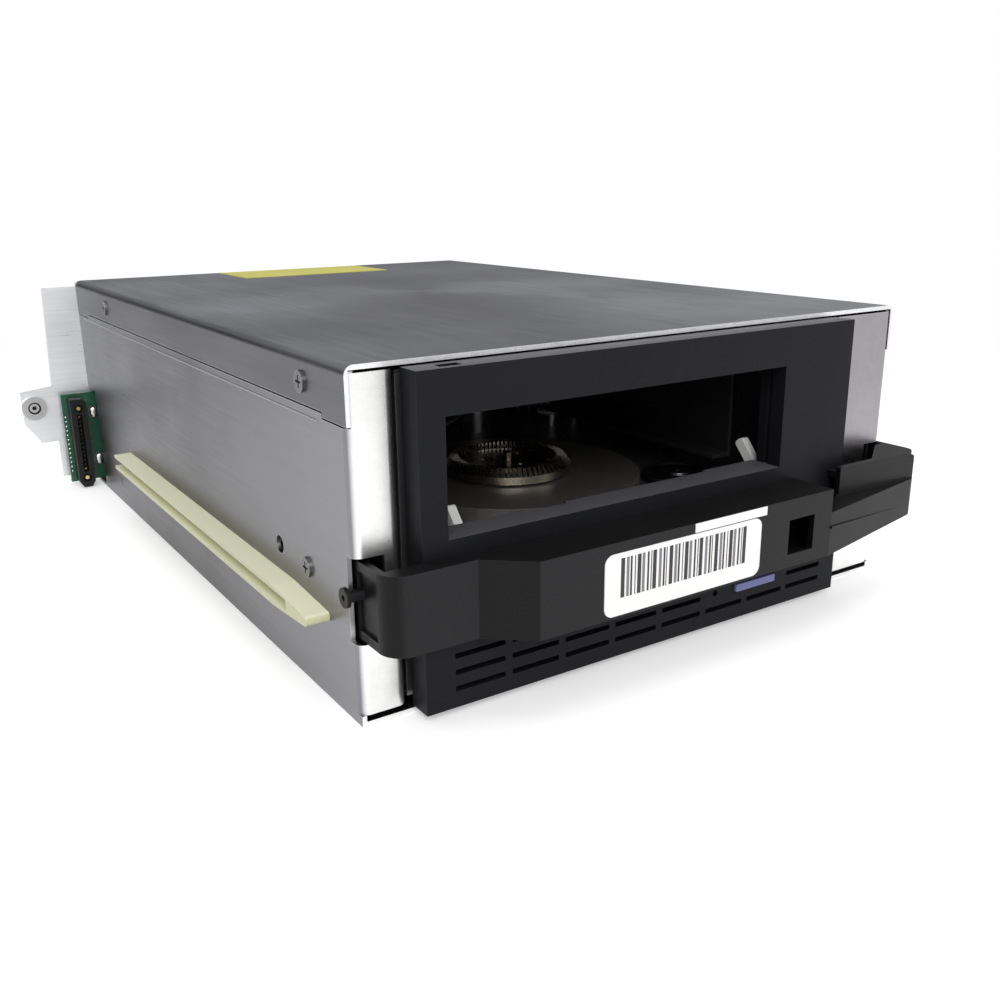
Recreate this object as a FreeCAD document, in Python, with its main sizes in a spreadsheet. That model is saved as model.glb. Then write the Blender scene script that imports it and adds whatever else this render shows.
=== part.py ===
"""Full-height data tape drive in a hot-swap sled.

Frame: millimetres, origin at the centre of the sled's bottom face, +Z up, +Y towards
the rear plate, so the cartridge slot looks along -Y.
"""
import FreeCAD, Part
import math
import os
import re
import Sketcher

# ---------------------------------------------------------------------------
# Driving dimensions, in millimetres and degrees
# ---------------------------------------------------------------------------
SIZES = [
    # sled: folded tray, cover and rear plate
    ("sled_width", 188.0), ("sled_depth", 268.0), ("sled_height", 88.0),
    ("sheet", 1.2), ("sheet_gap", 0.15), ("bend_radius", 2.4),
    ("strip_left_width", 12.4), ("strip_right_width", 28.0), ("strip_return", 7.0),
    ("strip_gap", 0.7), ("floor_lip", 1.6),
    ("cover_flange", 12.5), ("cover_tab", 1.4), ("front_tab_length", 13.0),
    ("rear_tab_length", 18.0), ("seam_gap", 0.4), ("joggle_height", 2.6),
    ("corner_notch_low", 21.2), ("corner_notch_high", 43.0), ("corner_notch_width", 7.8),
    ("corner_notch_right_high", 44.3),
    ("corner_notch_back", 4.0),
    ("board_notch_depth", 12.5), ("board_notch_high", 42.4),
    ("wall_hole_radius", 2.5), ("wall_hole_back", 46.6), ("wall_hole_high", 33.5),
    ("rear_plate_thickness", 1.6), ("ear_width", 15.0), ("ear_low", 4.0), ("ear_high", 85.5),
    ("lug_reach", 27.7), ("lug_low", 20.0), ("lug_high", 44.0), ("lug_chamfer", 6.0),
    # fasteners
    ("screw_head_radius", 2.7), ("screw_head_height", 0.8), ("screw_shank_radius", 1.5),
    ("screw_shank_length", 4.0), ("screw_clearance", 0.25), ("screw_recess", 0.5),
    ("cover_screw_front", 24.2), ("cover_screw_rear", 217.0), ("cover_screw_low", 7.0),
    ("ear_screw_reach", 23.0), ("ear_screw_high", 35.6), ("ferrule_radius", 5.0),
    ("ferrule_front", 1.2), ("ferrule_bore", 2.6),
    ("ferrule_well", 2.6), ("ferrule_behind", 1.0), ("captive_head_radius", 1.9),
    ("captive_head_length", 1.8), ("captive_shank_radius", 1.5), ("captive_length", 4.4),
    ("captive_socket", 1.0),
    ("drive_screw_front", 27.9), ("drive_screw_high", 32.8),
    ("spacer_radius", 4.0),
    # side rails
    ("rail_front", 16.0), ("rail_length", 188.0), ("rail_low", 20.4), ("rail_height", 5.6),
    ("rail_depth", 6.3), ("rail_groove_height", 3.2), ("rail_groove_depth", 2.6),
    ("rail_taper_length", 22.0), ("rail_tip_height", 2.5), ("rail_pin_radius", 1.6),
    # blind-mate interface board on the rear plate
    ("board_thickness", 1.6), ("board_outside", 12.7), ("board_inside", 34.0),
    ("board_low", 2.0), ("board_screw_inset", 0.2), ("board_screw_high", 32.0),
    ("board_screw_low", 11.0), ("board_height", 38.8), ("board_stand_off", 3.0),
    ("plug_width", 6.5), ("plug_height", 39.0), ("plug_depth", 6.4), ("plug_inset", 2.2),
    ("plug_low", 0.4), ("plug_slot_width", 2.2), ("plug_slot_depth", 4.2),
    ("plug_chamfer", 1.6), ("guide_pin_radius", 0.8), ("guide_pin_inset", 4.2),
    ("contact_pitch", 1.9), ("contact_count", 13), ("contact_width", 0.7),
    # drive inside the sled
    ("drive_left", 13.85), ("drive_width", 146.0), ("drive_depth", 205.0), ("drive_low", 3.2),
    ("drive_height", 82.0), ("drive_front", 3.0), ("casting_wall", 2.5), ("deck_low", 30.0),
    ("deck_thickness", 6.0), ("cover_sheet", 1.0), ("drive_foot_radius", 5.0),
    # bezel
    ("bezel_margin", 0.25), ("bezel_front", 7.7), ("bezel_low", 2.2), ("bezel_height", 84.2),
    ("bezel_skin", 3.0), ("bezel_wall", 2.0), ("bezel_gap", 0.4),
    ("window_left", 20.8), ("window_width", 111.4), ("window_low", 46.0), ("window_height", 29.4),
    ("window_frame", 1.8), ("window_depth", 9.0),
    ("sill_notch_left", 50.0), ("sill_notch_width", 11.0), ("sill_notch_depth", 1.4),
    ("sill_ledge_left", 111.5), ("sill_ledge_depth", 1.3), ("jamb_slot_front", 4.6),
    ("jamb_slot_width", 1.5), ("jamb_slot_depth", 1.2),
    ("vent_pitch", 16.7), ("vent_left", 21.8), ("vent_length", 14.6), ("vent_height", 1.4),
    ("vent_low", 6.5), ("vent_step", 4.4), ("vent_columns", 8), ("vent_rows", 3),
    ("button_left", 116.8), ("button_length", 16.0), ("button_low", 10.8), ("button_height", 2.2),
    ("button_proud", 0.7), ("button_gap", 0.35), ("button_stem", 5.0),
    ("pinhole_left", 108.9), ("pinhole_high", 12.0), ("pinhole_radius", 0.9),
    ("display_left", 119.5), ("display_low", 24.0), ("display_width", 13.0),
    ("display_height", 13.0), ("display_depth", 2.0),
    # adapter shroud round the front
    ("shroud_low", 21.8), ("shroud_high", 41.8), ("shroud_skin", 1.8), ("shroud_left", 2.0),
    ("shroud_wing_front", 13.0), ("shroud_nose_front", 22.5), ("shroud_nose_left", 36.5),
    ("shroud_facet_left", 25.4), ("shroud_nose_right", 138.5), ("shroud_right", 190.5),
    ("shroud_corner", 6.0), ("shroud_cap_back", 5.5), ("shroud_cap_right_back", 9.0),
    ("shroud_band_left", 153.6), ("shroud_band_low", 34.8), ("shroud_band_high", 43.4),
    ("shroud_facet_low", 22.9), ("shroud_right_corner", 4.5), ("shroud_web_left", 169.0),
    ("shroud_web_back", 9.0), ("shroud_crease_left", 30.0), ("shroud_crease_right", 25.4),
    ("shroud_rib", 0.5), ("shroud_recess", 0.8),
    ("shroud_rim", 2.4), ("shroud_ear_radius", 2.5), ("shroud_ear_high", 33.5),
    ("shroud_ear_back", 2.2), ("shroud_ear_length", 4.2), ("shroud_ear_hole", 0.8),
    ("sight_left", 121.0), ("sight_low", 25.6), ("sight_size", 10.2),
    ("label_left", 55.6), ("label_width", 54.0), ("label_low", 22.6), ("label_height", 16.4),
    ("label_corner", 2.6), ("label_thickness", 0.25), ("strip_label_left", 85.2),
    ("strip_label_width", 26.2), ("strip_label_height", 2.4), ("label_apart", 0.3),
    ("sticker_left", 62.0), ("sticker_width", 68.0), ("sticker_back", 231.0),
    ("sticker_depth", 34.0),
    # reel drives
    ("clutch_left", 78.5), ("clutch_back", 54.0), ("clutch_radius", 19.6),
    ("clutch_inner_radius", 15.4), ("clutch_low", 40.6), ("clutch_ring_height", 2.2),
    ("tooth_height", 2.4), ("tooth_count", 72), ("clutch_tooth_width", 0.8),
    ("clutch_bevel", 1.9),
    ("spindle_radius", 4.0), ("spindle_fit", 0.05), ("clutch_plate_radius", 12.0),
    ("clutch_plate_thickness", 0.8), ("clutch_pin_radius", 1.6),
    ("motor_flange_radius", 41.0), ("motor_flange_thickness", 4.0), ("motor_can_radius", 29.0),
    ("motor_can_drop", 10.0), ("motor_gap", 0.4),
    ("takeup_left", 72.0), ("takeup_back", 153.0), ("takeup_radius", 43.0),
    ("takeup_hub_radius", 21.0), ("takeup_flange", 1.2), ("tape_width", 12.7),
    ("tape_margin", 0.6), ("takeup_gap", 0.8),
    # tape path
    ("roller_radius", 4.2), ("roller_flange_radius", 5.5), ("roller_flange", 1.0),
    ("roller_post_radius", 1.5), ("roller_fit", 0.05), ("roller_cap", 1.0),
    ("roller_cap_radius", 2.6),
    ("roller_first_inset", 22.25), ("roller_first_back", 112.0),
    ("roller_second_inset", 10.25), ("roller_second_back", 113.0),
    ("roller_third_inset", 10.85), ("roller_third_back", 151.5),
    ("roller_fourth_inset", 25.35), ("roller_fourth_back", 162.0),
    ("head_inset", 18.35), ("head_back", 133.0), ("head_length", 18.0), ("head_width", 4.5),
    ("head_carriage_width", 7.0), ("head_carriage_length", 22.0),
    ("head_carriage_height", 8.0), ("head_travel", 2.5), ("head_post_radius", 1.5),
    ("head_post_fit", 0.05), ("head_screw_radius", 1.6),
    ("head_motor_radius", 5.0), ("head_motor_height", 9.0),
    # loader
    ("tray_left", 26.2), ("tray_width", 106.0), ("tray_low", 45.0), ("tray_height", 26.4),
    ("tray_sheet", 1.0), ("tray_front", 13.0), ("tray_depth", 92.0), ("tray_flange", 6.0),
    ("tray_drop", 3.0), ("tray_pin_radius", 1.6), ("tray_pin_high", 66.0),
    ("tray_pin_front", 38.0), ("tray_pin_rear", 88.0), ("cam_gap", 0.6), ("cam_sheet", 1.5),
    ("cam_low", 58.6), ("cam_height", 13.0), ("cam_front", 19.0), ("cam_length", 75.0),
    ("cam_travel", 15.0), ("cam_slot_play", 0.3),
    ("gear_module", 1.0), ("loader_gear_teeth", 20), ("loader_motor_teeth", 12),
    ("gear_width", 2.2), ("gear_backlash", 0.3), ("loader_gear_back", 60.0),
    ("gear_bore_radius", 1.5), ("rack_teeth", 10),
    ("loader_motor_radius", 7.5), ("loader_motor_length", 18.0),
    ("lever_thickness", 2.6), ("lever_width", 3.2), ("lever_rise", 8.4), ("lever_low", 42.6),
    ("lever_front", 4.6), ("lever_lean", 42.0), ("lever_pin_radius", 0.9),
    ("lever_gap", 0.2), ("lever_left_inner", 32.6), ("lever_left_front", 9.2),
    ("lever_left_low", 38.2), ("lever_side_gap", 0.3), ("lever_block", 3.0),
    ("lever_block_depth", 4.6),
    # threader
    ("threader_clear", 6.0), ("threader_bearing", -16.5), ("threader_reach", 32.0),
    ("threader_thickness", 2.0), ("threader_low", 64.0), ("threader_width", 7.0),
    ("threader_rest", -55.0), ("threader_motor_angle", -120.0), ("threader_motor_radius", 5.0),
    ("threader_fit", 0.05),
    ("threader_gear_teeth", 30), ("threader_motor_teeth", 12),
    # electronics and cooling
    ("logic_low", 8.0), ("logic_margin", 6.0), ("chip_height", 2.4), ("chip_size", 17.0),
    ("chip_pitch", 34.0), ("chip_count", 3),
    ("controller_beside", 18.15), ("controller_front", 36.0), ("controller_length", 105.0),
    ("controller_low", 8.0), ("controller_height", 62.0),
    ("link_width", 40.0), ("link_low", 12.0), ("link_height", 9.0), ("link_depth", 9.0),
    ("ribbon_thickness", 0.9), ("ribbon_width", 30.0),
    ("fan_left", 122.0), ("fan_high", 44.0), ("fan_size", 60.0), ("fan_depth", 20.0),
    ("fan_bore", 28.5), ("fan_hub_radius", 13.0), ("fan_blade_reach", 27.0),
    ("fan_blade_count", 7), ("fan_blade_chord", 14.0), ("fan_blade_thickness", 1.2),
    ("fan_blade_pitch", 50.0), ("fan_axle_radius", 1.5), ("fan_hub_clear", 3.0),
    ("fan_hole_radius", 2.1), ("fan_hole_pitch", 50.0),
    ("grille_slot", 3.0), ("grille_step", 6.0), ("grille_count", 8),
    ("socket_left", 40.0), ("socket_low", 50.0), ("socket_width", 42.0),
    ("socket_height", 12.0), ("socket_depth", 12.0), ("socket_proud", 5.0),
    ("handle_left", 76.0), ("handle_low", 9.0), ("handle_span", 64.0),
    ("handle_stand_off", 22.0), ("handle_radius", 3.0),
]

ALIASES = {name for name, value in SIZES}
WORD = re.compile(r"[a-z][a-z_]*")

LEFT = "(-sled_width / 2)"
RIGHT = "(sled_width / 2)"
FRONT = "(-sled_depth / 2)"
BACK = "(sled_depth / 2)"

doc = FreeCAD.newDocument("tape_drive")
sheet = doc.addObject("Spreadsheet::Sheet", "Sizes")
for row, (alias, value) in enumerate(SIZES, 1):
    sheet.set(f"A{row}", alias)
    sheet.set(f"B{row}", str(value))
    sheet.setAlias(f"B{row}", alias)
doc.recompute()


# ---------------------------------------------------------------------------
# Expressions: plain words in them are the sheet's aliases
# ---------------------------------------------------------------------------
def linked(text):
    """The expression with each alias pointing at the sheet."""
    return WORD.sub(lambda word: "Sizes." + word.group() if word.group() in ALIASES
                    else word.group(), str(text))


def number(text):
    """The expression's present value."""
    result = sheet.evalExpression(linked(text))
    return float(getattr(result, "Value", result))


def bind(item, field, text):
    item.setExpression(field, linked(text))


def put(item, place):
    for axis, text in zip("xyz", place):
        bind(item, f"Placement.Base.{axis}", text)
    return item


def across(text):
    """A place measured to the right from the sled's left face."""
    return f"({LEFT} + {text})"


def behind(text):
    """A place measured back from the sled's front face."""
    return f"({FRONT} + {text})"


# ---------------------------------------------------------------------------
# Builders
# ---------------------------------------------------------------------------
TURNS = {"x": FreeCAD.Rotation(FreeCAD.Vector(0, 1, 0), 90),
         "y": FreeCAD.Rotation(FreeCAD.Vector(1, 0, 0), -90),
         "z": FreeCAD.Rotation()}


def box(low, size, name="Block"):
    item = doc.addObject("Part::Box", name)
    for field, text in zip(("Length", "Width", "Height"), size):
        bind(item, field, text)
    return put(item, low)


def rod(axis, centre, radius, length, name="Rod"):
    """A cylinder whose first end is centred on a place, pointing along +axis."""
    item = doc.addObject("Part::Cylinder", name)
    bind(item, "Radius", radius)
    bind(item, "Height", length)
    item.Placement = FreeCAD.Placement(FreeCAD.Vector(), TURNS[axis])
    return put(item, centre)


def fuse(*items):
    if len(items) == 1:
        return items[0]
    item = doc.addObject("Part::MultiFuse", "Union")
    item.Shapes = list(items)
    item.Refine = True
    return item


def cut(base, *tools):
    item = doc.addObject("Part::Cut", "Difference")
    item.Base = base
    item.Tool = fuse(*tools)
    item.Refine = True
    return item


def common(first, second):
    item = doc.addObject("Part::MultiCommon", "Overlap")
    item.Shapes = [first, second]
    return item


def group(*items):
    item = doc.addObject("Part::Compound", "Group")
    item.Links = list(items)
    return item


def plane_of(body, role):
    return next(part for part in body.Origin.OriginFeatures if part.Role == role)


def sketch_of(body, role, outline, name="Outline"):
    """A closed outline on one of the body's own planes, each corner tied to the sheet."""
    sketch = body.newObject("Sketcher::SketchObject", name)
    sketch.AttachmentSupport = [(plane_of(body, role), "")]
    sketch.MapMode = "FlatFace"
    corners = [(number(first), number(second)) for first, second in outline]
    count = len(corners)
    for index, corner in enumerate(corners):
        following = corners[(index + 1) % count]
        sketch.addGeometry(Part.LineSegment(FreeCAD.Vector(*corner, 0),
                                            FreeCAD.Vector(*following, 0)))
    for index in range(count):
        sketch.addConstraint(Sketcher.Constraint("Coincident", index, 2, (index + 1) % count, 1))
    for index, corner in enumerate(corners):
        for kind, value, text in zip(("DistanceX", "DistanceY"), corner, outline[index]):
            which = sketch.addConstraint(Sketcher.Constraint(kind, -1, 1, index, 1, value))
            sketch.setExpression(f"Constraints[{which}]", linked(text))
    return sketch


def pad(role, outline, length, place=(0, 0, 0), rounds=(), name="Plate"):
    """A padded outline; rounds lists (corner numbers, radius) pairs.

    XY outlines are x, y and grow up; XZ outlines are x, z and grow back; YZ outlines
    are y, z and grow to the right.
    """
    body = doc.addObject("PartDesign::Body", name)
    profile = sketch_of(body, role, outline)
    solid = body.newObject("PartDesign::Pad", "Pad")
    solid.Profile = (profile, [""])
    solid.Reversed = role == "XZ_Plane"
    bind(solid, "Length", length)
    put(body, place)
    if rounds:
        doc.recompute()
    skip = {"XY_Plane": 2, "XZ_Plane": 1, "YZ_Plane": 0}[role]
    for corners, radius in rounds:
        spots = [tuple(number(text) for text in outline[corner]) for corner in corners]
        edges = [f"Edge{index + 1}" for index, edge in enumerate(solid.Shape.Edges)
                 if runs_through(edge, spots, skip)]
        rounded = body.newObject("PartDesign::Fillet", "Round")
        rounded.Base = (solid, edges)
        bind(rounded, "Radius", radius)
        body.Tip = rounded
        doc.recompute()
        solid = rounded
    return body


def runs_through(edge, spots, skip):
    """Whether a straight edge across the outline's plane stands on one of its corners."""
    if len(edge.Vertexes) != 2:
        return False
    flat = []
    for vertex in edge.Vertexes:
        place = [vertex.X, vertex.Y, vertex.Z]
        place.pop(skip)
        flat.append(place)
    return any(all(math.dist(place, spot) < 1e-4 for place in flat) for spot in spots)


def turned(role, outline, place=(0, 0, 0), name="Turned"):
    """An outline of radius and height revolved once round the body's Z axis."""
    body = doc.addObject("PartDesign::Body", name)
    profile = sketch_of(body, role, outline)
    solid = body.newObject("PartDesign::Revolution", "Revolution")
    solid.Profile = (profile, [""])
    solid.ReferenceAxis = (profile, ["V_Axis"])
    solid.Angle = 360
    return put(body, place)


def oblong(role, outline):
    """Corner places of a rectangle given as low, high."""
    (low_first, low_second), (high_first, high_second) = outline
    return [(low_first, low_second), (high_first, low_second),
            (high_first, high_second), (low_first, high_second)]


def ring(axis, centre, radius, bore, length):
    return cut(rod(axis, centre, radius, length),
               rod(axis, shifted(axis, centre, "-1"), bore, f"{length} + 2"))


def shifted(axis, place, by):
    return tuple(f"({text} + {by})" if letter == axis else text
                 for letter, text in zip("xyz", place))


def screw(axis, seat, way):
    """A cross-recessed screw; its head stands on the seat towards way, +1 or -1."""
    sunk = "screw_shank_length" if way > 0 else "0"
    under = "0" if way > 0 else "screw_head_height"
    shank = rod(axis, shifted(axis, seat, f"(-{sunk})"), "screw_shank_radius",
                "screw_shank_length")
    head = rod(axis, shifted(axis, seat, f"(-{under})"), "screw_head_radius",
               "screw_head_height")
    floor = "screw_head_height - screw_recess" if way > 0 else "(-screw_head_height) - 1"
    reach = "screw_recess + 1"
    arms = []
    for wide, high in (("screw_head_radius * 1.2", "0.7"), ("0.7", "screw_head_radius * 1.2")):
        spans = [wide, high]
        size, low = [], []
        for letter, text in zip("xyz", seat):
            if letter == axis:
                size.append(reach)
                low.append(f"({text} + {floor})")
            else:
                span = spans.pop(0)
                size.append(span)
                low.append(f"({text} - ({span}) / 2)")
        arms.append(box(tuple(low), tuple(size)))
    return cut(fuse(shank, head), *arms)


pieces = {}
shared = {}


def piece(name, item):
    """Name a finished sub-part."""
    item.Label = name
    pieces[name] = item
    return item


def share(name, *items):
    """Add separate solids to a node that holds every piece of their kind."""
    shared.setdefault(name, []).extend(items)


# ---------------------------------------------------------------------------
# Sled: folded tray, cover, rear plate and their fasteners
# ---------------------------------------------------------------------------
SEAM = "(sled_height - cover_flange)"


def side_walls(outer_face, inner_face):
    """One folded side wall, and its offset upper edge under the cover's flange."""
    outer = box((outer_face, FRONT, "0"), ("sheet", "sled_depth", f"{SEAM} - seam_gap"))
    inner = box((inner_face, f"{FRONT} + sheet / 2", f"{SEAM} - seam_gap - joggle_height"),
                ("sheet", "sled_depth - sheet * 1.5", "cover_flange + joggle_height - sheet"))
    return outer, inner


def sled_tray():
    floor = box((LEFT, FRONT, "0"), ("sled_width", "sled_depth", "sheet"))
    left_wall, left_edge = side_walls(LEFT, f"{LEFT} + sheet")
    right_wall, right_edge = side_walls(f"{RIGHT} - sheet", f"{RIGHT} - 2 * sheet")
    strip_low = "sheet + floor_lip"
    strip_height = "sled_height - 2 * sheet - floor_lip - strip_gap"
    left_strip = pad("XY_Plane", [
        (LEFT, FRONT), (f"{LEFT} + strip_left_width", FRONT),
        (f"{LEFT} + strip_left_width", f"{FRONT} + strip_return"),
        (f"{LEFT} + strip_left_width - sheet", f"{FRONT} + strip_return"),
        (f"{LEFT} + strip_left_width - sheet", f"{FRONT} + sheet"),
        (f"{LEFT} + sheet", f"{FRONT} + sheet"),
        (f"{LEFT} + sheet", f"{FRONT} + strip_return"), (LEFT, f"{FRONT} + strip_return")],
        strip_height, ("0", "0", strip_low), [((0, 1), "bend_radius"),
                                              ((4, 5), "bend_radius - sheet")])
    right_strip = pad("XY_Plane", [
        (f"{RIGHT} - strip_right_width", FRONT), (RIGHT, FRONT),
        (RIGHT, f"{FRONT} + strip_return"), (f"{RIGHT} - sheet", f"{FRONT} + strip_return"),
        (f"{RIGHT} - sheet", f"{FRONT} + sheet"),
        (f"{RIGHT} - strip_right_width + sheet", f"{FRONT} + sheet"),
        (f"{RIGHT} - strip_right_width + sheet", f"{FRONT} + strip_return"),
        (f"{RIGHT} - strip_right_width", f"{FRONT} + strip_return")],
        strip_height, ("0", "0", strip_low), [((0, 1), "bend_radius"),
                                              ((4, 5), "bend_radius - sheet")])
    corners = [box((LEFT, FRONT, strip_low), ("bend_radius", "bend_radius", "sled_height")),
               box((f"{RIGHT} - bend_radius", FRONT, strip_low),
                   ("bend_radius", "bend_radius", "sled_height"))]
    shell = fuse(cut(fuse(floor, left_wall, right_wall), *corners), left_edge, right_edge,
                 left_strip, right_strip)
    notches = [box((low, f"{FRONT} - 1", "corner_notch_low"),
                   ("corner_notch_width + 1", "corner_notch_back + 1",
                    f"{high} - corner_notch_low"))
               for low, high in ((f"{LEFT} - 1", "corner_notch_high"),
                                 (f"{RIGHT} - corner_notch_width",
                                  "corner_notch_right_high"))]
    board_way = box((f"{LEFT} - 1", f"{BACK} - board_notch_depth", "sheet"),
                    ("2 * sheet + 1", "board_notch_depth + 1", "board_notch_high - sheet"))
    wall_hole = rod("x", (f"{LEFT} - 1", behind("wall_hole_back"), "wall_hole_high"),
                    "wall_hole_radius", "sheet + 2")
    rail_holes = [rod("x", (low, behind(back), "rail_low + rail_height / 2"),
                      "rail_pin_radius + 0.15", "sheet + 2")
                  for low in (f"{LEFT} - 1", f"{RIGHT} - sheet - 1")
                  for back in RAIL_PINS]
    screw_holes = [rod("x", (low, behind(back), "sled_height - cover_screw_low"),
                       "screw_shank_radius + screw_clearance", "2 * sheet + 2")
                   for low in (f"{LEFT} - 1", f"{RIGHT} - 2 * sheet - 1")
                   for back in COVER_SCREWS]
    drive_holes = [rod("x", (low, behind(back), high), "screw_shank_radius + screw_clearance",
                       "sheet + 2")
                   for low in (f"{LEFT} - 1", f"{RIGHT} - sheet - 1")
                   for back, high in DRIVE_SCREWS]
    tab_ways = [box((face, low, f"{SEAM} - cover_tab - seam_gap"),
                    ("sheet", f"{length} + seam_gap", "cover_flange + cover_tab + seam_gap"))
                for face in (LEFT, f"{RIGHT} - sheet")
                for low, length in ((FRONT, "front_tab_length"),
                                    (f"{BACK} - rear_tab_length - seam_gap",
                                     "rear_tab_length"))]
    piece("sled_tray", cut(shell, *tab_ways, *notches, board_way, wall_hole, *rail_holes, *screw_holes,
                           *drive_holes))


RAIL_PINS = ("rail_front + 30", "rail_front + rail_length - 25")
COVER_SCREWS = ("cover_screw_front", "cover_screw_rear")
DRIVE_SCREWS = (("drive_screw_front", "drive_screw_high"),)


def top_cover():
    """The lid's side flanges lie flush with the tray's walls, with a longer tab at each end."""
    body = pad("XZ_Plane", [
        (LEFT, SEAM), (f"{LEFT} + sheet - sheet_gap", SEAM),
        (f"{LEFT} + sheet - sheet_gap", "sled_height - sheet"),
        (f"{RIGHT} - sheet + sheet_gap", "sled_height - sheet"),
        (f"{RIGHT} - sheet + sheet_gap", SEAM),
        (RIGHT, SEAM), (RIGHT, "sled_height"), (LEFT, "sled_height")],
        "sled_depth", ("0", FRONT, "0"), [((6, 7), "bend_radius")])
    tabs = []
    for face in (LEFT, f"{RIGHT} - sheet + sheet_gap"):
        for low, length in ((FRONT, "front_tab_length"),
                            (f"{BACK} - rear_tab_length", "rear_tab_length")):
            tabs.append(box((face, low, f"{SEAM} - cover_tab"),
                            ("sheet - sheet_gap", length, "cover_tab + 1")))
    holes = [rod("x", (low, behind(back), "sled_height - cover_screw_low"),
                 "screw_shank_radius + screw_clearance", "sheet + 2")
             for low in (f"{LEFT} - 1", f"{RIGHT} - sheet - 1") for back in COVER_SCREWS]
    piece("top_cover", cut(fuse(body, *tabs), *holes))


def cover_screws():
    high = "sled_height - cover_screw_low"
    share("case_screws", *[screw("x", (face, behind(back), high), way)
                           for face, way in ((LEFT, -1), (RIGHT, 1)) for back in COVER_SCREWS])


def drive_screws():
    share("case_screws", *[screw("x", (face, behind(back), high), way)
                           for face, way in ((LEFT, -1), (RIGHT, 1))
                           for back, high in DRIVE_SCREWS])


def drive_spacers():
    """Threaded posts that hold the drive between the tray's walls."""
    posts = []
    drive_right = f"({across('drive_left')} + drive_width)"
    for back, high in DRIVE_SCREWS:
        for low, length in ((f"({LEFT} + sheet)", "drive_left - sheet"),
                            (drive_right, "sled_width - sheet - drive_left - drive_width")):
            posts.append(ring("x", (low, behind(back), high), "spacer_radius",
                              "screw_shank_radius", length))
    share("spacers", *posts)


def rear_plate():
    """Flat plate across the back with a fastening ear and lug on its left."""
    plate = pad("XZ_Plane", [
        (f"{LEFT} - ear_width", "ear_low"), (LEFT, "ear_low"), (LEFT, "0"), (RIGHT, "0"),
        (RIGHT, "sled_height - 0.5"), (LEFT, "sled_height - 0.5"), (LEFT, "ear_high"),
        (f"{LEFT} - ear_width + 1.5", "ear_high"), (f"{LEFT} - ear_width", "lug_high"),
        (f"{LEFT} - lug_reach", "lug_high - 1.5"),
        (f"{LEFT} - lug_reach", "lug_low + lug_chamfer + 3"),
        (f"{LEFT} - lug_reach + lug_chamfer", "lug_low"), (f"{LEFT} - ear_width", "lug_low")],
        "rear_plate_thickness", ("0", BACK, "0"))
    before = f"({BACK} - 1)"
    through = "rear_plate_thickness + 2"
    fan = f"({LEFT} + fan_left)"
    slots = []
    for index in range(int(number("grille_count"))):
        high = f"fan_high + ({index} - (grille_count - 1) / 2) * grille_step"
        slots.append(box((f"{fan} - sqrt(fan_bore * fan_bore - "
                          f"({index} - (grille_count - 1) / 2)^2 * grille_step^2) + 2",
                          before, f"{high} - grille_slot / 2"),
                         (f"2 * sqrt(fan_bore * fan_bore - ({index} - (grille_count - 1) / 2)^2"
                          " * grille_step^2) - 4", through, "grille_slot")))
    holes = [rod("y", (x, before, z), "screw_shank_radius + screw_clearance", through)
             for x, z in FAN_SCREWS + BOARD_SCREWS]
    socket = box((across("socket_left - 0.3"), before, "socket_low - 0.3"),
                 ("socket_width + 0.6", through, "socket_height + 0.6"))
    lug_hole = rod("y", (f"{LEFT} - ear_screw_reach", before, "ear_screw_high"),
                   "ferrule_bore + 1", through)
    grips = [rod("y", (x, before, "handle_low"), "handle_radius - 0.8", through)
             for x in HANDLE_FEET]
    piece("rear_plate", cut(plate, *slots, *holes, socket, lug_hole, *grips))


FAN_CENTRE = (f"({LEFT} + fan_left)", "fan_high")
FAN_SCREWS = [(f"({LEFT} + fan_left {first} fan_hole_pitch / 2)",
               f"(fan_high {second} fan_hole_pitch / 2)") for first in "+-" for second in "+-"]
BOARD_SCREWS = [(f"({LEFT} + board_screw_inset)", "board_screw_high"),
                (f"({LEFT} + board_screw_inset)", "board_screw_low")]
HANDLE_FEET = (across("handle_left"), across("handle_left + handle_span"))


def captive_screw():
    """A flanged ferrule pressed into the lug, and the captive screw that turns in it."""
    x, z = f"({LEFT} - ear_screw_reach)", "ear_screw_high"
    start = f"({BACK} - ferrule_front)"
    length = "ferrule_front + rear_plate_thickness + ferrule_behind"
    ferrule = fuse(rod("y", (x, start, z), "ferrule_radius", "ferrule_front"),
                   rod("y", (x, start, z), "ferrule_bore + 1", length))
    well = rod("y", (x, shift(start, "-1"), z), "ferrule_bore", "ferrule_well + 1")
    collar = rod("y", (x, start, z), "captive_shank_radius + spindle_fit", "sled_height")
    piece("screw_ferrule", cut(ferrule, well, collar))
    head_low = f"({start} + ferrule_well - captive_head_length - 0.1)"
    head = rod("y", (x, head_low, z), "captive_head_radius", "captive_head_length")
    shank = rod("y", (x, head_low, z), "captive_shank_radius", "captive_length")
    socket = pad("XZ_Plane", [
        (f"{x} + captive_socket * cos({angle})", f"{z} + captive_socket * sin({angle})")
        for angle in range(0, 360, 60)], "captive_head_length", ("0", shift(head_low, "-1"), "0"))
    piece("captive_screw", cut(fuse(head, shank), socket))


def shift(text, by):
    return f"({text} + {by})"


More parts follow.
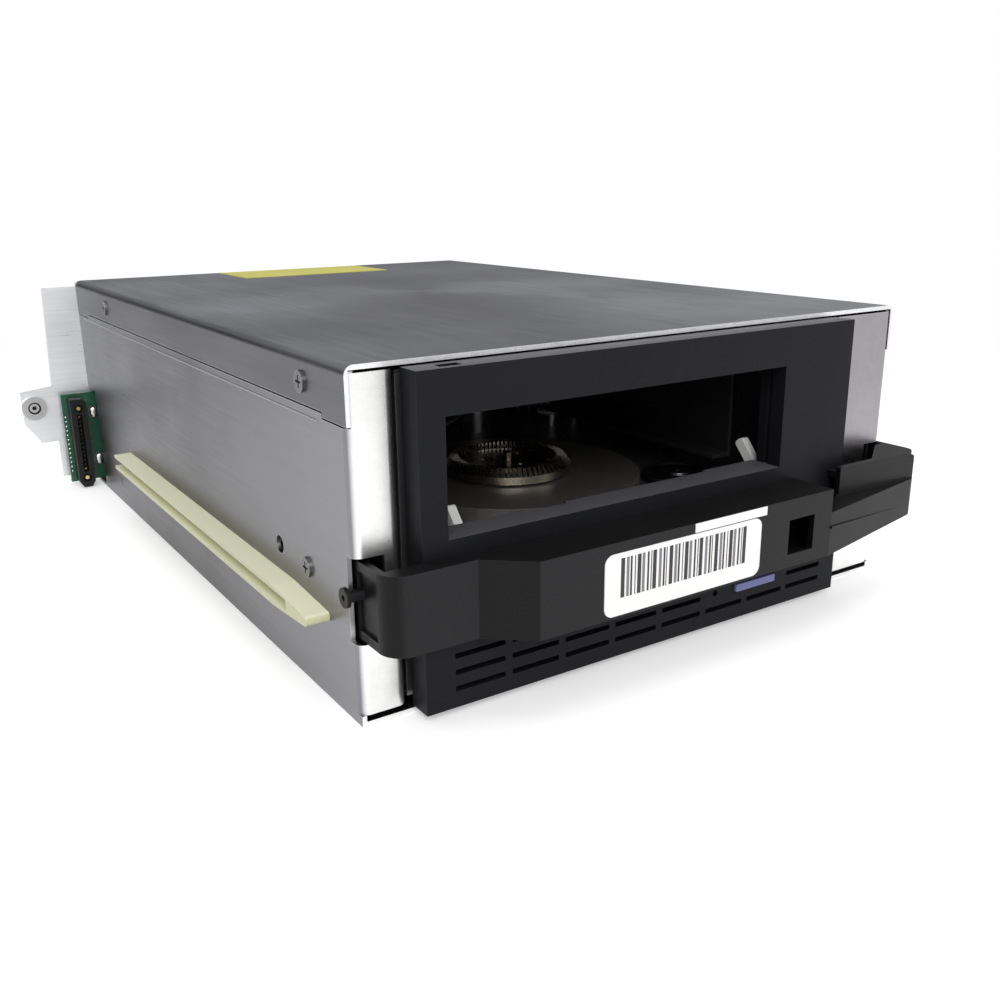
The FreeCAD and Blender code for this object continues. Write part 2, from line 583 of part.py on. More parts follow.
def side_rail(name, face, way):
    """A moulded guide rail with a groove along it and a tapered nose, on two pins."""
    start, end = behind("rail_front"), behind("rail_front + rail_length")
    middle = "(rail_low + rail_height / 2)"
    low = f"{face} - rail_depth" if way < 0 else face
    body = pad("YZ_Plane", [
        (start, f"{middle} - rail_tip_height / 2"),
        (f"{start} + rail_taper_length", "rail_low"), (end, "rail_low"),
        (end, "rail_low + rail_height"), (f"{start} + rail_taper_length",
                                          "rail_low + rail_height"),
        (start, f"{middle} + rail_tip_height / 2")],
        "rail_depth", (low, "0", "0"), [((0, 5), "rail_tip_height * 0.45"),
                                        ((2, 3), "0.6")])
    groove_low = f"{face} - rail_depth - 1" if way < 0 else f"{face} + rail_depth - rail_groove_depth"
    groove = box((groove_low, f"{start} + rail_taper_length * 0.6",
                  f"{middle} - rail_groove_height / 2"),
                 ("rail_groove_depth + 1", "rail_length", "rail_groove_height"))
    pins = [rod("x", (face if way < 0 else f"{face} - sheet - 0.8", behind(back), middle),
                "rail_pin_radius", "sheet + 0.8") for back in RAIL_PINS]
    piece(name, fuse(cut(body, groove), *pins))


def interface_board():
    """Blind-mate board behind the wall: board, tall plug, contacts, guide pins, screws."""
    front = f"({BACK} - board_stand_off - board_thickness)"
    left = f"({LEFT} - board_outside)"
    board = box((left, front, "board_low"),
                ("board_outside + board_inside", "board_thickness", "board_height"))
    holes = [rod("y", (x, shift(front, "-1"), z), "screw_shank_radius + screw_clearance",
                 "board_thickness + 2") for x, z in BOARD_SCREWS]
    piece("interface_board", cut(board, *holes))
    plug_left = f"({left} + plug_inset)"
    plug_front = f"({front} - plug_depth)"
    shell = pad("XZ_Plane", [
        (f"{plug_left} + plug_chamfer", "plug_low"),
        (f"{plug_left} + plug_width - plug_chamfer", "plug_low"),
        (f"{plug_left} + plug_width", "plug_low + plug_chamfer * 1.5"),
        (f"{plug_left} + plug_width", "plug_low + plug_height - plug_chamfer"),
        (f"{plug_left} + plug_width - plug_chamfer", "plug_low + plug_height"),
        (plug_left, "plug_low + plug_height"), (plug_left, "plug_low + plug_chamfer * 1.5")],
        "plug_depth", ("0", plug_front, "0"))
    middle = f"({plug_left} + plug_width / 2)"
    slot_low = "(plug_low + guide_pin_inset + 2.6)"
    slot_height = "(plug_height - 2 * guide_pin_inset - 5.2)"
    slot = box((f"{middle} - plug_slot_width / 2", shift(plug_front, "-1"), slot_low),
               ("plug_slot_width", "plug_slot_depth + 1", slot_height))
    pin_ends = ("(plug_low + guide_pin_inset)", "(plug_low + plug_height - guide_pin_inset)")
    wells = [rod("y", (middle, shift(plug_front, "-1"), z), "guide_pin_radius + 1.1",
                 "3") for z in pin_ends]
    piece("interface_plug", cut(shell, slot, *wells))
    blades = [rod("y", (middle, shift(plug_front, "0.4"), z), "guide_pin_radius", "1.6")
              for z in pin_ends]
    for index in range(int(number("contact_count"))):
        z = (f"(plug_low + plug_height / 2 + ({index} - (contact_count - 1) / 2)"
             " * contact_pitch - contact_width / 2)")
        blades.append(box((f"{middle} - 0.35", shift(plug_front, "1.2"), z),
                          ("0.7", "plug_slot_depth - 1.2", "contact_width")))
    piece("plug_contacts", group(*blades))
    share("case_screws", *[screw("y", (x, front, z), -1) for x, z in BOARD_SCREWS])
    share("spacers", *[ring("y", (x, f"({BACK} - board_stand_off)", z), "3",
                            "screw_shank_radius + 0.1", "board_stand_off")
                       for x, z in BOARD_SCREWS])


# ---------------------------------------------------------------------------
# Front: bezel, button, display, adapter shroud and labels
# ---------------------------------------------------------------------------
BEZEL_LEFT = "(drive_left - bezel_margin)"
BEZEL_WIDTH = "(drive_width + 2 * bezel_margin)"
BEZEL_FACE = f"({FRONT} - bezel_front)"


def bezel_box(left, low, width, height, front="0", depth="bezel_skin"):
    """A block measured from the sled's left, the bottom and the bezel's face."""
    return box((across(left), f"({BEZEL_FACE} + {front})", low), (width, depth, height))


def front_bezel():
    """A moulded front: skin, rim, window frame with a sloping sill, vents and slots."""
    outer = bezel_box(BEZEL_LEFT, "bezel_low", BEZEL_WIDTH, "bezel_height", "0",
                      "bezel_front - bezel_gap")
    hollow = bezel_box(f"{BEZEL_LEFT} + bezel_wall", "bezel_low + bezel_wall",
                       f"{BEZEL_WIDTH} - 2 * bezel_wall", "bezel_height - 2 * bezel_wall",
                       "bezel_skin", "bezel_front")
    frame = bezel_box("window_left - window_frame", "window_low - window_frame",
                      "window_width + 2 * window_frame", "window_height + 2 * window_frame",
                      "bezel_skin - 1", "window_depth - bezel_skin + 1")
    window = bezel_box("window_left", "window_low", "window_width", "window_height",
                       "(-1)", "window_depth + 2")
    notch = bezel_box("sill_notch_left", "window_low - window_frame - 1",
                      "sill_notch_width", "window_frame + 2",
                      "window_depth - sill_notch_depth", "sill_notch_depth + 1")
    ledge = bezel_box("sill_ledge_left", "window_low - window_frame",
                      "window_left + window_width - sill_ledge_left", "window_frame",
                      "window_depth - 1", "sill_ledge_depth + 1")
    jamb_slot = bezel_box("window_left + window_width - 1", "window_low",
                          "1 + jamb_slot_depth", "window_height", "jamb_slot_front",
                          "jamb_slot_width")
    shell = cut(fuse(cut(outer, hollow), frame), window, notch, jamb_slot)
    vents = []
    for column in range(int(number("vent_columns"))):
        for level in range(int(number("vent_rows"))):
            if level > 0 and column in BUTTON_COLUMNS:
                continue
            vents.append(bezel_box(f"vent_left + {column} * vent_pitch",
                                   f"vent_low + {level} * vent_step", "vent_length",
                                   "vent_height", "(-1)", "bezel_skin + 2"))
    button_way = bezel_box("button_left - button_gap", "button_low - button_gap",
                           "button_length + 2 * button_gap", "button_height + 2 * button_gap",
                           "(-1)", "bezel_skin + 2")
    pinhole = rod("y", (across("pinhole_left"), shift(BEZEL_FACE, "-1"), "pinhole_high"),
                  "pinhole_radius", "bezel_skin + 2")
    display_way = bezel_box("display_left - 0.2", "display_low - 0.2", "display_width + 0.4",
                            "display_height + 0.4", "(-1)", "bezel_skin + 2")
    latch_notch = bezel_box("drive_left + 7", "bezel_low + bezel_height - 1", "6", "2", "2",
                            "bezel_skin")
    piece("front_bezel", fuse(cut(shell, *vents, button_way, pinhole, display_way,
                                  latch_notch), ledge))


BUTTON_COLUMNS = (5, 6)


def eject_button():
    cap = bezel_box("button_left", "button_low", "button_length", "button_height",
                    "(-button_proud)", "button_proud + bezel_skin + 0.6")
    collar = bezel_box("button_left - 1", "button_low - 1", "button_length + 2",
                       "button_height + 2", "bezel_skin + button_gap / 2", "1")
    stem = rod("y", (across("button_left + button_length / 2"),
                     f"({BEZEL_FACE} + bezel_skin)", "button_low + button_height / 2"),
               "0.9", "button_stem - 1")
    piece("eject_button", fuse(cap, collar, stem))


def status_display():
    piece("status_display", bezel_box("display_left", "display_low", "display_width",
                                      "display_height", "bezel_skin - display_depth - 0.4",
                                      "display_depth"))


def shroud_plan(inset):
    """The wrap's left wing and nose in plan, its walls drawn in by inset."""
    front_wing = f"({FRONT} - shroud_wing_front + {inset})"
    front_nose = f"({FRONT} - shroud_nose_front + {inset})"
    slant = f"{inset} * 0.35"
    return [
        (f"{across('shroud_left')} + {inset}", behind("shroud_cap_back")),
        (f"{across('shroud_left')} + {inset}", front_wing),
        (f"{across('shroud_facet_left')} + {slant}", front_wing),
        (f"{across('shroud_nose_left')} + {slant}", front_nose),
        (f"{across('shroud_nose_right')} - {slant}", front_nose),
        (f"{across('shroud_right')} - {inset}", front_wing),
        (f"{across('shroud_right')} - {inset}", behind("shroud_cap_right_back")),
    ]


def shroud_slab(inset, low, height, rounding):
    plan = shroud_plan(inset)
    left_in = f"({across('shroud_left')} + shroud_skin)"
    right_in = f"({across('shroud_right')} - shroud_skin)"
    face = BEZEL_FACE
    outline = plan + [(right_in, behind("shroud_cap_right_back")), (right_in, face),
                      (left_in, face), (left_in, behind("shroud_cap_back"))]
    return pad("XY_Plane", outline, height, ("0", "0", low), rounding)


def adapter_shroud():
    """A wrap round the drive's lower front: wings, a proud nose and end caps with ears."""
    height = "shroud_high - shroud_low"
    rounds = [((1,), "shroud_corner"), ((5,), "shroud_right_corner"), ((2, 3, 4), "0.8")]
    body = shroud_slab("0", "shroud_low", height, rounds)
    inner = pad("XY_Plane", [
        (f"{across('shroud_left')} + shroud_corner + 2", behind("1")),
        (f"{across('shroud_left')} + shroud_corner + 2", f"({FRONT} - shroud_wing_front + shroud_skin)"),
        (f"{across('shroud_facet_left')} + shroud_skin * 0.4",
         f"({FRONT} - shroud_wing_front + shroud_skin)"),
        (f"{across('shroud_nose_left')} + shroud_skin * 0.4",
         f"({FRONT} - shroud_nose_front + shroud_skin)"),
        (f"{across('shroud_nose_right')} - shroud_skin * 0.4",
         f"({FRONT} - shroud_nose_front + shroud_skin)"),
        (f"{across('shroud_right')} - 12", f"({FRONT} - shroud_wing_front + shroud_skin)"),
        (f"{across('shroud_right')} - 12", behind("1"))],
        f"{height} - 2 * shroud_skin", ("0", "0", "shroud_low + shroud_skin"))
    # right of the nose the front drops back above a ledge, with a band over it
    step = pad("XY_Plane", [
        (across("shroud_nose_right"), f"({FRONT} - shroud_nose_front - 1)"),
        (across("shroud_right + 1"), f"({FRONT} - shroud_nose_front - 1)"),
        (across("shroud_right + 1"), f"({FRONT} - shroud_wing_front + 0.4)"),
        (across("shroud_nose_right"), f"({FRONT} - shroud_wing_front + 0.4)")],
        "shroud_high - shroud_band_low + 1", ("0", "0", "shroud_band_low"))
    gap = box((across("shroud_nose_right"), f"({FRONT} - shroud_wing_front)",
               "shroud_band_low"),
              ("shroud_band_left - shroud_nose_right", "shroud_wing_front",
               "shroud_band_high"))
    chamfer = pad("XZ_Plane", [
        (across("shroud_nose_right"), "shroud_low - 1"),
        (across("shroud_right + 1"), "shroud_low - 1"),
        (across("shroud_right + 1"), "shroud_facet_low"),
        (across("shroud_nose_right"), "shroud_low")],
        "shroud_nose_front + 12", ("0", f"({FRONT} - shroud_nose_front - 1)", "0"))
    face = f"({FRONT} - shroud_wing_front + 0.4)"
    outside, inside = across("shroud_right"), f"({across('shroud_right')} - shroud_skin)"
    deck = pad("XY_Plane", [
        (f"{across('shroud_nose_right')} - 2", f"({FRONT} - shroud_nose_front + shroud_skin)"),
        (f"{across('shroud_nose_right')} + 1", f"({FRONT} - shroud_nose_front + shroud_skin)"),
        (f"{outside} - 3", face), (f"{outside} - 3", f"({FRONT} - bezel_front - bezel_gap)"),
        (f"{across('shroud_nose_right')} - 2", f"({FRONT} - bezel_front - bezel_gap)")],
        "shroud_skin", ("0", "0", "shroud_band_low - shroud_skin"))
    band = pad("XY_Plane", [
        (across("shroud_band_left"), face), (outside, face),
        (outside, behind("shroud_web_back")), (inside, behind("shroud_web_back")),
        (inside, f"({face} + shroud_skin)"),
        (across("shroud_band_left"), f"({face} + shroud_skin)")],
        "shroud_band_high - shroud_band_low", ("0", "0", "shroud_band_low"),
        [((1,), "shroud_right_corner"), ((4,), "shroud_right_corner - shroud_skin")])
    web = pad("XY_Plane", [
        (across("shroud_web_left"), f"({face} + 1)"), (f"{outside} - 3", f"({face} + 1)"),
        (f"{outside} - 1", f"({face} + 3)"), (f"{outside} - 1", behind("shroud_web_back")),
        (inside, behind("shroud_web_back")), (inside, f"({FRONT} - 0.3)"),
        (f"{RIGHT} - 2.5", f"({FRONT} - 0.3)")],
        "shroud_skin", ("0", "0", "shroud_band_high - shroud_skin"))
    lip = box((f"({across('shroud_band_left')} - 1.5)", f"({face} - 0.4)",
               "shroud_band_low - 0.3"),
              ("shroud_right - shroud_band_left - 3", "1", "0.8"))
    recess = box((across("shroud_left - 1"),
                  f"({FRONT} - shroud_wing_front + shroud_corner + 0.5)",
                  "shroud_low + shroud_rim"),
                 ("1 + shroud_recess",
                  "shroud_wing_front + shroud_cap_back - shroud_corner - 0.5 - shroud_rim",
                  f"{height} - 2 * shroud_rim"))
    sight = box((across("sight_left"), f"({FRONT} - shroud_nose_front - 1)", "sight_low"),
                ("sight_size", "shroud_nose_front", "sight_size"))
    ear = rod("x", (f"({LEFT} - shroud_ear_length + shroud_left + 1)",
                    behind("shroud_ear_back"), "shroud_ear_high"),
              "shroud_ear_radius * 0.6", "shroud_ear_length")
    flange = rod("x", (f"({LEFT} - shroud_ear_length + shroud_left)",
                       behind("shroud_ear_back"), "shroud_ear_high"),
                 "shroud_ear_radius", "1")
    hole = rod("x", (f"({LEFT} - shroud_ear_length)", behind("shroud_ear_back"),
                     "shroud_ear_high"), "shroud_ear_hole", "3")
    skin_out = pad("XY_Plane", [
        (across("shroud_nose_right"), f"({FRONT} - shroud_nose_front - shroud_rib)"),
        (across("shroud_right - 3"), f"({FRONT} - shroud_wing_front - shroud_rib)"),
        (across("shroud_right - 3"), f"({FRONT} - shroud_wing_front + 1)"),
        (across("shroud_nose_right"), f"({FRONT} - shroud_nose_front + 1)")],
        height, ("0", "0", "shroud_low"))
    slope = pad("XZ_Plane", [
        (across("shroud_nose_right"), "shroud_crease_left"),
        (across("shroud_right"), "shroud_crease_right"),
        (across("shroud_right"), "shroud_crease_right + 0.7"),
        (across("shroud_nose_right"), "shroud_crease_left + 0.7")],
        "shroud_nose_front + 6", ("0", f"({FRONT} - shroud_nose_front - 3)", "0"))
    crease = common(skin_out, slope)
    whole = fuse(cut(fuse(body, crease), inner, step, gap, chamfer, recess, sight),
                 deck, band, web, lip, ear, flange)
    piece("adapter_shroud", cut(whole, hole))


def labels():
    face = f"({FRONT} - shroud_nose_front - label_thickness)"
    share("shroud_labels", pad("XZ_Plane", oblong("XZ_Plane", (
        (across("label_left"), "label_low"),
        (f"{across('label_left')} + label_width", "label_low + label_height"))),
        "label_thickness", ("0", face, "0"), [((0, 1, 2, 3), "label_corner")]))
    share("shroud_labels", box((across("strip_label_left"), face,
                                "label_low + label_height + label_apart"),
                               ("strip_label_width", "label_thickness", "strip_label_height")))
    piece("cover_sticker", box((across("sticker_left"), behind("sticker_back"),
                                "sled_height"),
                               ("sticker_width", "sticker_depth", "label_thickness")))


# ---------------------------------------------------------------------------
# Drive casting, covers and electronics
# ---------------------------------------------------------------------------
DRIVE_LEFT = across("drive_left")
DRIVE_RIGHT = f"({across('drive_left')} + drive_width)"
DRIVE_TOP = "(drive_low + drive_height)"
DECK_TOP = "(deck_low + deck_thickness)"
CLUTCH = (across("clutch_left"), behind("clutch_back"))
TAKEUP = (across("takeup_left"), behind("takeup_back"))


def drive_base():
    """Cast frame: a deck between two side walls, with wells for both reel motors."""
    front = behind("drive_front")
    deck = box((DRIVE_LEFT, front, "deck_low"),
               ("drive_width", "drive_depth - drive_front", "deck_thickness"))
    walls = [box((low, front, "drive_low + cover_sheet"),
                 ("casting_wall", "drive_depth - drive_front",
                  "drive_height - 2 * cover_sheet"))
             for low in (DRIVE_LEFT, f"{DRIVE_RIGHT} - casting_wall")]
    back = box((DRIVE_LEFT, f"{behind('drive_depth')} - casting_wall",
                "drive_low + cover_sheet"),
               ("drive_width", "casting_wall", "deck_low + 30 - drive_low"))
    wells = [rod("z", (x, y, shift("deck_low", "-1")), "motor_can_radius + motor_gap",
                 "deck_thickness + 2") for x, y in (CLUTCH, TAKEUP)]
    screw_ways = [rod("x", (low, behind(place), high), "screw_shank_radius",
                      "casting_wall + 2")
                  for low in (f"({DRIVE_LEFT} - 1)", f"({DRIVE_RIGHT} - casting_wall - 1)")
                  for place, high in DRIVE_SCREWS]
    link_way = box((across("drive_left + drive_width / 2 - link_width / 2 - 0.5"),
                    f"({behind('drive_depth')} - casting_wall - 1)", "link_low - 0.5"),
                   ("link_width + 1", "casting_wall + 2", "link_height + 1"))
    vent = box((across("drive_left + 20"), f"({behind('drive_depth')} - casting_wall - 1)",
                "deck_low + deck_thickness + 4"), ("drive_width - 40", "casting_wall + 2", "14"))
    screw_well = rod("z", (*HEAD_SCREW, shift("deck_low", "-1")), "head_screw_radius + 0.3",
                     "deck_thickness + 2")
    motor_way = rod("x", (f"({DRIVE_LEFT} - 1)", *LOADER_MOTOR_AXIS),
                    "loader_motor_radius + 0.2", "casting_wall + 2")
    piece("drive_base", cut(fuse(deck, *walls, back), *wells, *screw_ways, link_way, vent,
                            screw_well, motor_way))


def drive_covers():
    front = behind("drive_front")
    size = ("drive_width", "drive_depth - drive_front", "cover_sheet")
    piece("drive_lid", box((DRIVE_LEFT, front, f"{DRIVE_TOP} - cover_sheet"), size))
    floor = box((DRIVE_LEFT, front, "drive_low"), size)
    feet = [rod("z", (x, y, "sheet"), "drive_foot_radius", "drive_low - sheet")
            for x in (f"({DRIVE_LEFT} + 14)", f"({DRIVE_RIGHT} - 14)")
            for y in (behind("24"), behind("drive_depth - 20"))]
    piece("drive_floor", fuse(floor, *feet))


def logic_board():
    left = f"({DRIVE_LEFT} + casting_wall + 1)"
    wide = "(drive_width - 2 * casting_wall - 2)"
    front = behind("drive_front + logic_margin")
    long = "(drive_depth - drive_front - 2 * logic_margin - casting_wall)"
    posts = []
    for x in (f"({left} + 6)", f"({left} + {wide} - 6)"):
        for y in (f"({front} + 6)", f"({front} + {long} - 6)"):
            posts.append(rod("z", (x, y, "drive_low + cover_sheet"), "2.5",
                             "logic_low - drive_low - cover_sheet"))
    share("spacers", *posts)
    piece("logic_board", box((left, front, "logic_low"), (wide, long, "board_thickness")))
    top = "(logic_low + board_thickness)"
    blocks = []
    for index in range(int(number("chip_count"))):
        for x in (f"({left} + 14)", f"({left} + {wide} - 14 - chip_size)"):
            blocks.append(box((x, f"({front} + 30 + {index} * chip_pitch)", top),
                              ("chip_size", "chip_size", "chip_height")))
    share("board_chips", *blocks)
    link_left = across("drive_left + drive_width / 2 - link_width / 2")
    link_back = f"({behind('drive_depth')} - link_depth + 1)"
    body = box((link_left, link_back, "link_low"), ("link_width", "link_depth", "link_height"))
    socket = box((f"({link_left} + 2)", f"({link_back} + 3)", "link_low + 2.5"),
                 ("link_width - 4", "link_depth", "link_height - 5"))
    foot = box((f"({link_left} + 4)", link_back, top), ("link_width - 8", "4", f"link_low - {top}"))
    piece("drive_rear_socket", fuse(cut(body, socket), foot))


def ribbon_cable():
    """Flat cable from the drive's rear socket round to the interface board, with its plug."""
    link_left = across("drive_left + drive_width / 2 - ribbon_width / 2")
    socket_back = f"({behind('drive_depth')} + 1)"
    plug = box((link_left, f"({socket_back} - 4)", "link_low + 2.8"),
               ("ribbon_width", "9", "link_height - 5.6"))
    share("ribbon_plugs", plug)
    board_front = f"({BACK} - board_stand_off - board_thickness)"
    header_left = f"({LEFT} + 8)"
    header_low = "(board_low + 6)"
    header = box((header_left, f"({board_front} - 5)", header_low),
                 ("5", "5", "ribbon_width"))
    share("ribbon_plugs", header)
    middle = "(link_low + link_height / 2)"
    first = f"({socket_back} + 5)"
    run_right = f"({link_left} + ribbon_width)"
    cable = pad("XY_Plane", [
        (link_left, first), (run_right, first), (run_right, f"({first} + 24)"),
        (f"({header_left} + 5)", f"({first} + 24)"),
        (f"({header_left} + 5)", f"({first} + 18)"), (link_left, f"({first} + 18)")],
        "ribbon_thickness", ("0", "0", f"{middle} - ribbon_thickness / 2"))
    drop = box((f"({header_left} + 2)", f"({first} + 18)", f"{middle} - ribbon_thickness / 2"),
               ("3.4", "6", "ribbon_thickness"))
    rise = box((f"({header_left} + 2)", f"({first} + 18)", header_low),
               ("ribbon_thickness", f"{board_front} - 5 - ({first} + 18)", "ribbon_width"))
    piece("ribbon_cable", fuse(cable, drop, rise))


def controller_board():
    """Sled controller on edge in the bay beside the drive, on posts from the right wall."""
    x = f"({DRIVE_RIGHT} + controller_beside)"
    board = box((x, behind("controller_front"), "controller_low"),
                ("board_thickness", "controller_length", "controller_height"))
    piece("controller_board", board)
    blocks = [box((f"({x} - chip_height)", behind(f"controller_front + 10 + {index} * chip_pitch"),
                   "controller_low + 20"), ("chip_height", "chip_size", "chip_size"))
              for index in range(int(number("chip_count")))]
    share("board_chips", *blocks)
    posts = []
    for back in ("controller_front + 8", "controller_front + controller_length - 8"):
        for high in ("controller_low + 6", "controller_low + controller_height - 6"):
            posts.append(rod("x", (f"({x} + board_thickness)", behind(back), high), "2.5",
                             f"{RIGHT} - sheet - ({x} + board_thickness)"))
    share("spacers", *posts)


# ---------------------------------------------------------------------------
# Reel motors, clutch, take-up reel and tape path
# ---------------------------------------------------------------------------
MOTOR_TOP = f"({DECK_TOP} + motor_flange_thickness)"


def reel_motor(name, centre, flange_radius):
    """A flat motor: its flange lies on the deck and its can hangs in the casting's well."""
    x, y = centre
    low = "(deck_low - motor_can_drop)"
    body = fuse(rod("z", (x, y, DECK_TOP), flange_radius, "motor_flange_thickness"),
                rod("z", (x, y, low), "motor_can_radius", f"{DECK_TOP} - {low}"))
    bore = rod("z", (x, y, shift(low, "2")), "spindle_radius + spindle_fit", "sled_height")
    piece(name, cut(body, bore))


def reel_clutch():
    """The toothed ring that drives a cartridge's hub, on its spindle."""
    body = turned("XZ_Plane", [
        ("0", "deck_low - motor_can_drop + 3"), ("spindle_radius", "deck_low - motor_can_drop + 3"),
        ("spindle_radius", "clutch_low"), ("clutch_radius", "clutch_low"),
        ("clutch_radius", "clutch_low + clutch_ring_height"),
        ("clutch_radius - clutch_bevel", "clutch_low + clutch_ring_height + tooth_height"),
        ("clutch_inner_radius", "clutch_low + clutch_ring_height + tooth_height"),
        ("clutch_inner_radius", "clutch_low + clutch_ring_height"),
        ("0", "clutch_low + clutch_ring_height")], name="ClutchBody")
    put(body, (*CLUTCH, "0"))
    piece("reel_clutch", cut(body, tooth_gaps()))
    top = "(clutch_low + clutch_ring_height)"
    plate = rod("z", (*CLUTCH, top), "clutch_plate_radius", "clutch_plate_thickness")
    knob = rod("z", (*CLUTCH, top), "clutch_pin_radius", "tooth_height + 0.6")
    dimples = [rod("z", (f"({CLUTCH[0]} + cos({angle}) * clutch_plate_radius * 0.62)",
                         f"({CLUTCH[1]} + sin({angle}) * clutch_plate_radius * 0.62)",
                         shift(top, "0.3")), "1.2", "2") for angle in (30, 150, 270)]
    piece("clutch_plate", fuse(cut(plate, *dimples), knob))


def tooth_gaps():
    """One cutter for the gaps between the clutch's radial face teeth."""
    low = number("clutch_low + clutch_ring_height")
    half = number("clutch_tooth_width") / 2
    rise = number("tooth_height") + 0.2
    inner, outer = number("clutch_inner_radius") - 0.5, number("clutch_radius") + 0.5
    section = [(-0.5 * half, 0), (0.5 * half, 0), (1.1 * half, rise), (-1.1 * half, rise)]
    wire = Part.makePolygon([FreeCAD.Vector(inner, a, low + b)
                             for a, b in section + section[:1]])
    wedge = Part.Face(wire).extrude(FreeCAD.Vector(outer - inner, 0, 0))
    count = int(number("tooth_count"))
    wedges = []
    for index in range(count):
        turned_wedge = wedge.copy()
        turned_wedge.rotate(FreeCAD.Vector(), FreeCAD.Vector(0, 0, 1), 360 * index / count)
        wedges.append(turned_wedge)
    item = doc.addObject("Part::Feature", "ToothGaps")
    item.Shape = Part.makeCompound(wedges)
    return put(item, (*CLUTCH, "0"))


REEL_LOW = f"({MOTOR_TOP} + takeup_gap)"
TAPE_LOW = f"({REEL_LOW} + takeup_flange)"
TAPE_HIGH = f"({TAPE_LOW} + tape_width + tape_margin)"


def takeup_reel():
    """Lower flange, hub and spindle in one, with a separate clear upper flange."""
    low = "deck_low - motor_can_drop + 3"
    body = turned("XZ_Plane", [
        ("0", low), ("spindle_radius", low), ("spindle_radius", REEL_LOW),
        ("takeup_radius", REEL_LOW), ("takeup_radius", TAPE_LOW),
        ("takeup_hub_radius", TAPE_LOW), ("takeup_hub_radius", TAPE_HIGH), ("0", TAPE_HIGH)],
        (*TAKEUP, "0"))
    windows = [rod("z", (f"({TAKEUP[0]} + cos({angle}) * takeup_radius * 0.74)",
                         f"({TAKEUP[1]} + sin({angle}) * takeup_radius * 0.74)",
                         shift(REEL_LOW, "-1")), "takeup_radius * 0.16", "takeup_flange + 2")
               for angle in range(0, 360, 60)]
    piece("takeup_reel", cut(body, *windows))
    flange = rod("z", (*TAKEUP, TAPE_HIGH), "takeup_radius", "takeup_flange")
    ports = [rod("z", (f"({TAKEUP[0]} + cos({angle}) * takeup_radius * 0.74)",
                       f"({TAKEUP[1]} + sin({angle}) * takeup_radius * 0.74)",
                       shift(TAPE_HIGH, "-1")), "takeup_radius * 0.16", "takeup_flange + 2")
             for angle in range(0, 360, 60)]
    eye = rod("z", (*TAKEUP, shift(TAPE_HIGH, "-1")), "takeup_hub_radius * 0.3",
              "takeup_flange + 2")
    piece("takeup_reel_flange", cut(flange, *ports, eye))


HEAD_LEFT = f"({DRIVE_RIGHT} - head_inset)"
HEAD_SCREW = (f"({HEAD_LEFT} + head_width / 2 + head_carriage_width / 2)", behind("head_back"))
ROLLERS = tuple((f"({DRIVE_RIGHT} - roller_{word}_inset)", behind(f"roller_{word}_back"))
                for word in ("first", "second", "third", "fourth"))


def guide_rollers():
    """Flanged rollers on fixed posts guide the tape past the head."""
    posts = []
    for index, (x, y) in enumerate(ROLLERS, 1):
        low = f"({TAPE_LOW} - roller_flange)"
        wheel = turned("XZ_Plane", [
            ("roller_post_radius + roller_fit", low), ("roller_flange_radius", low),
            ("roller_flange_radius", shift(low, "roller_flange")),
            ("roller_radius", shift(low, "roller_flange")), ("roller_radius", TAPE_HIGH),
            ("roller_flange_radius", TAPE_HIGH),
            ("roller_flange_radius", shift(TAPE_HIGH, "roller_flange")),
            ("roller_post_radius + roller_fit", shift(TAPE_HIGH, "roller_flange"))],
            (x, y, "0"))
        piece(f"guide_roller_{index}", wheel)
        top = f"({TAPE_HIGH} + roller_flange + 0.2)"
        posts.append(fuse(rod("z", (x, y, DECK_TOP), "roller_post_radius", f"{top} - {DECK_TOP}"),
                          rod("z", (x, y, DECK_TOP), "roller_cap_radius + 1",
                              f"{TAPE_LOW} - roller_flange - 0.2 - {DECK_TOP}"),
                          rod("z", (x, y, top), "roller_cap_radius", "roller_cap")))
    share("deck_posts", *posts)


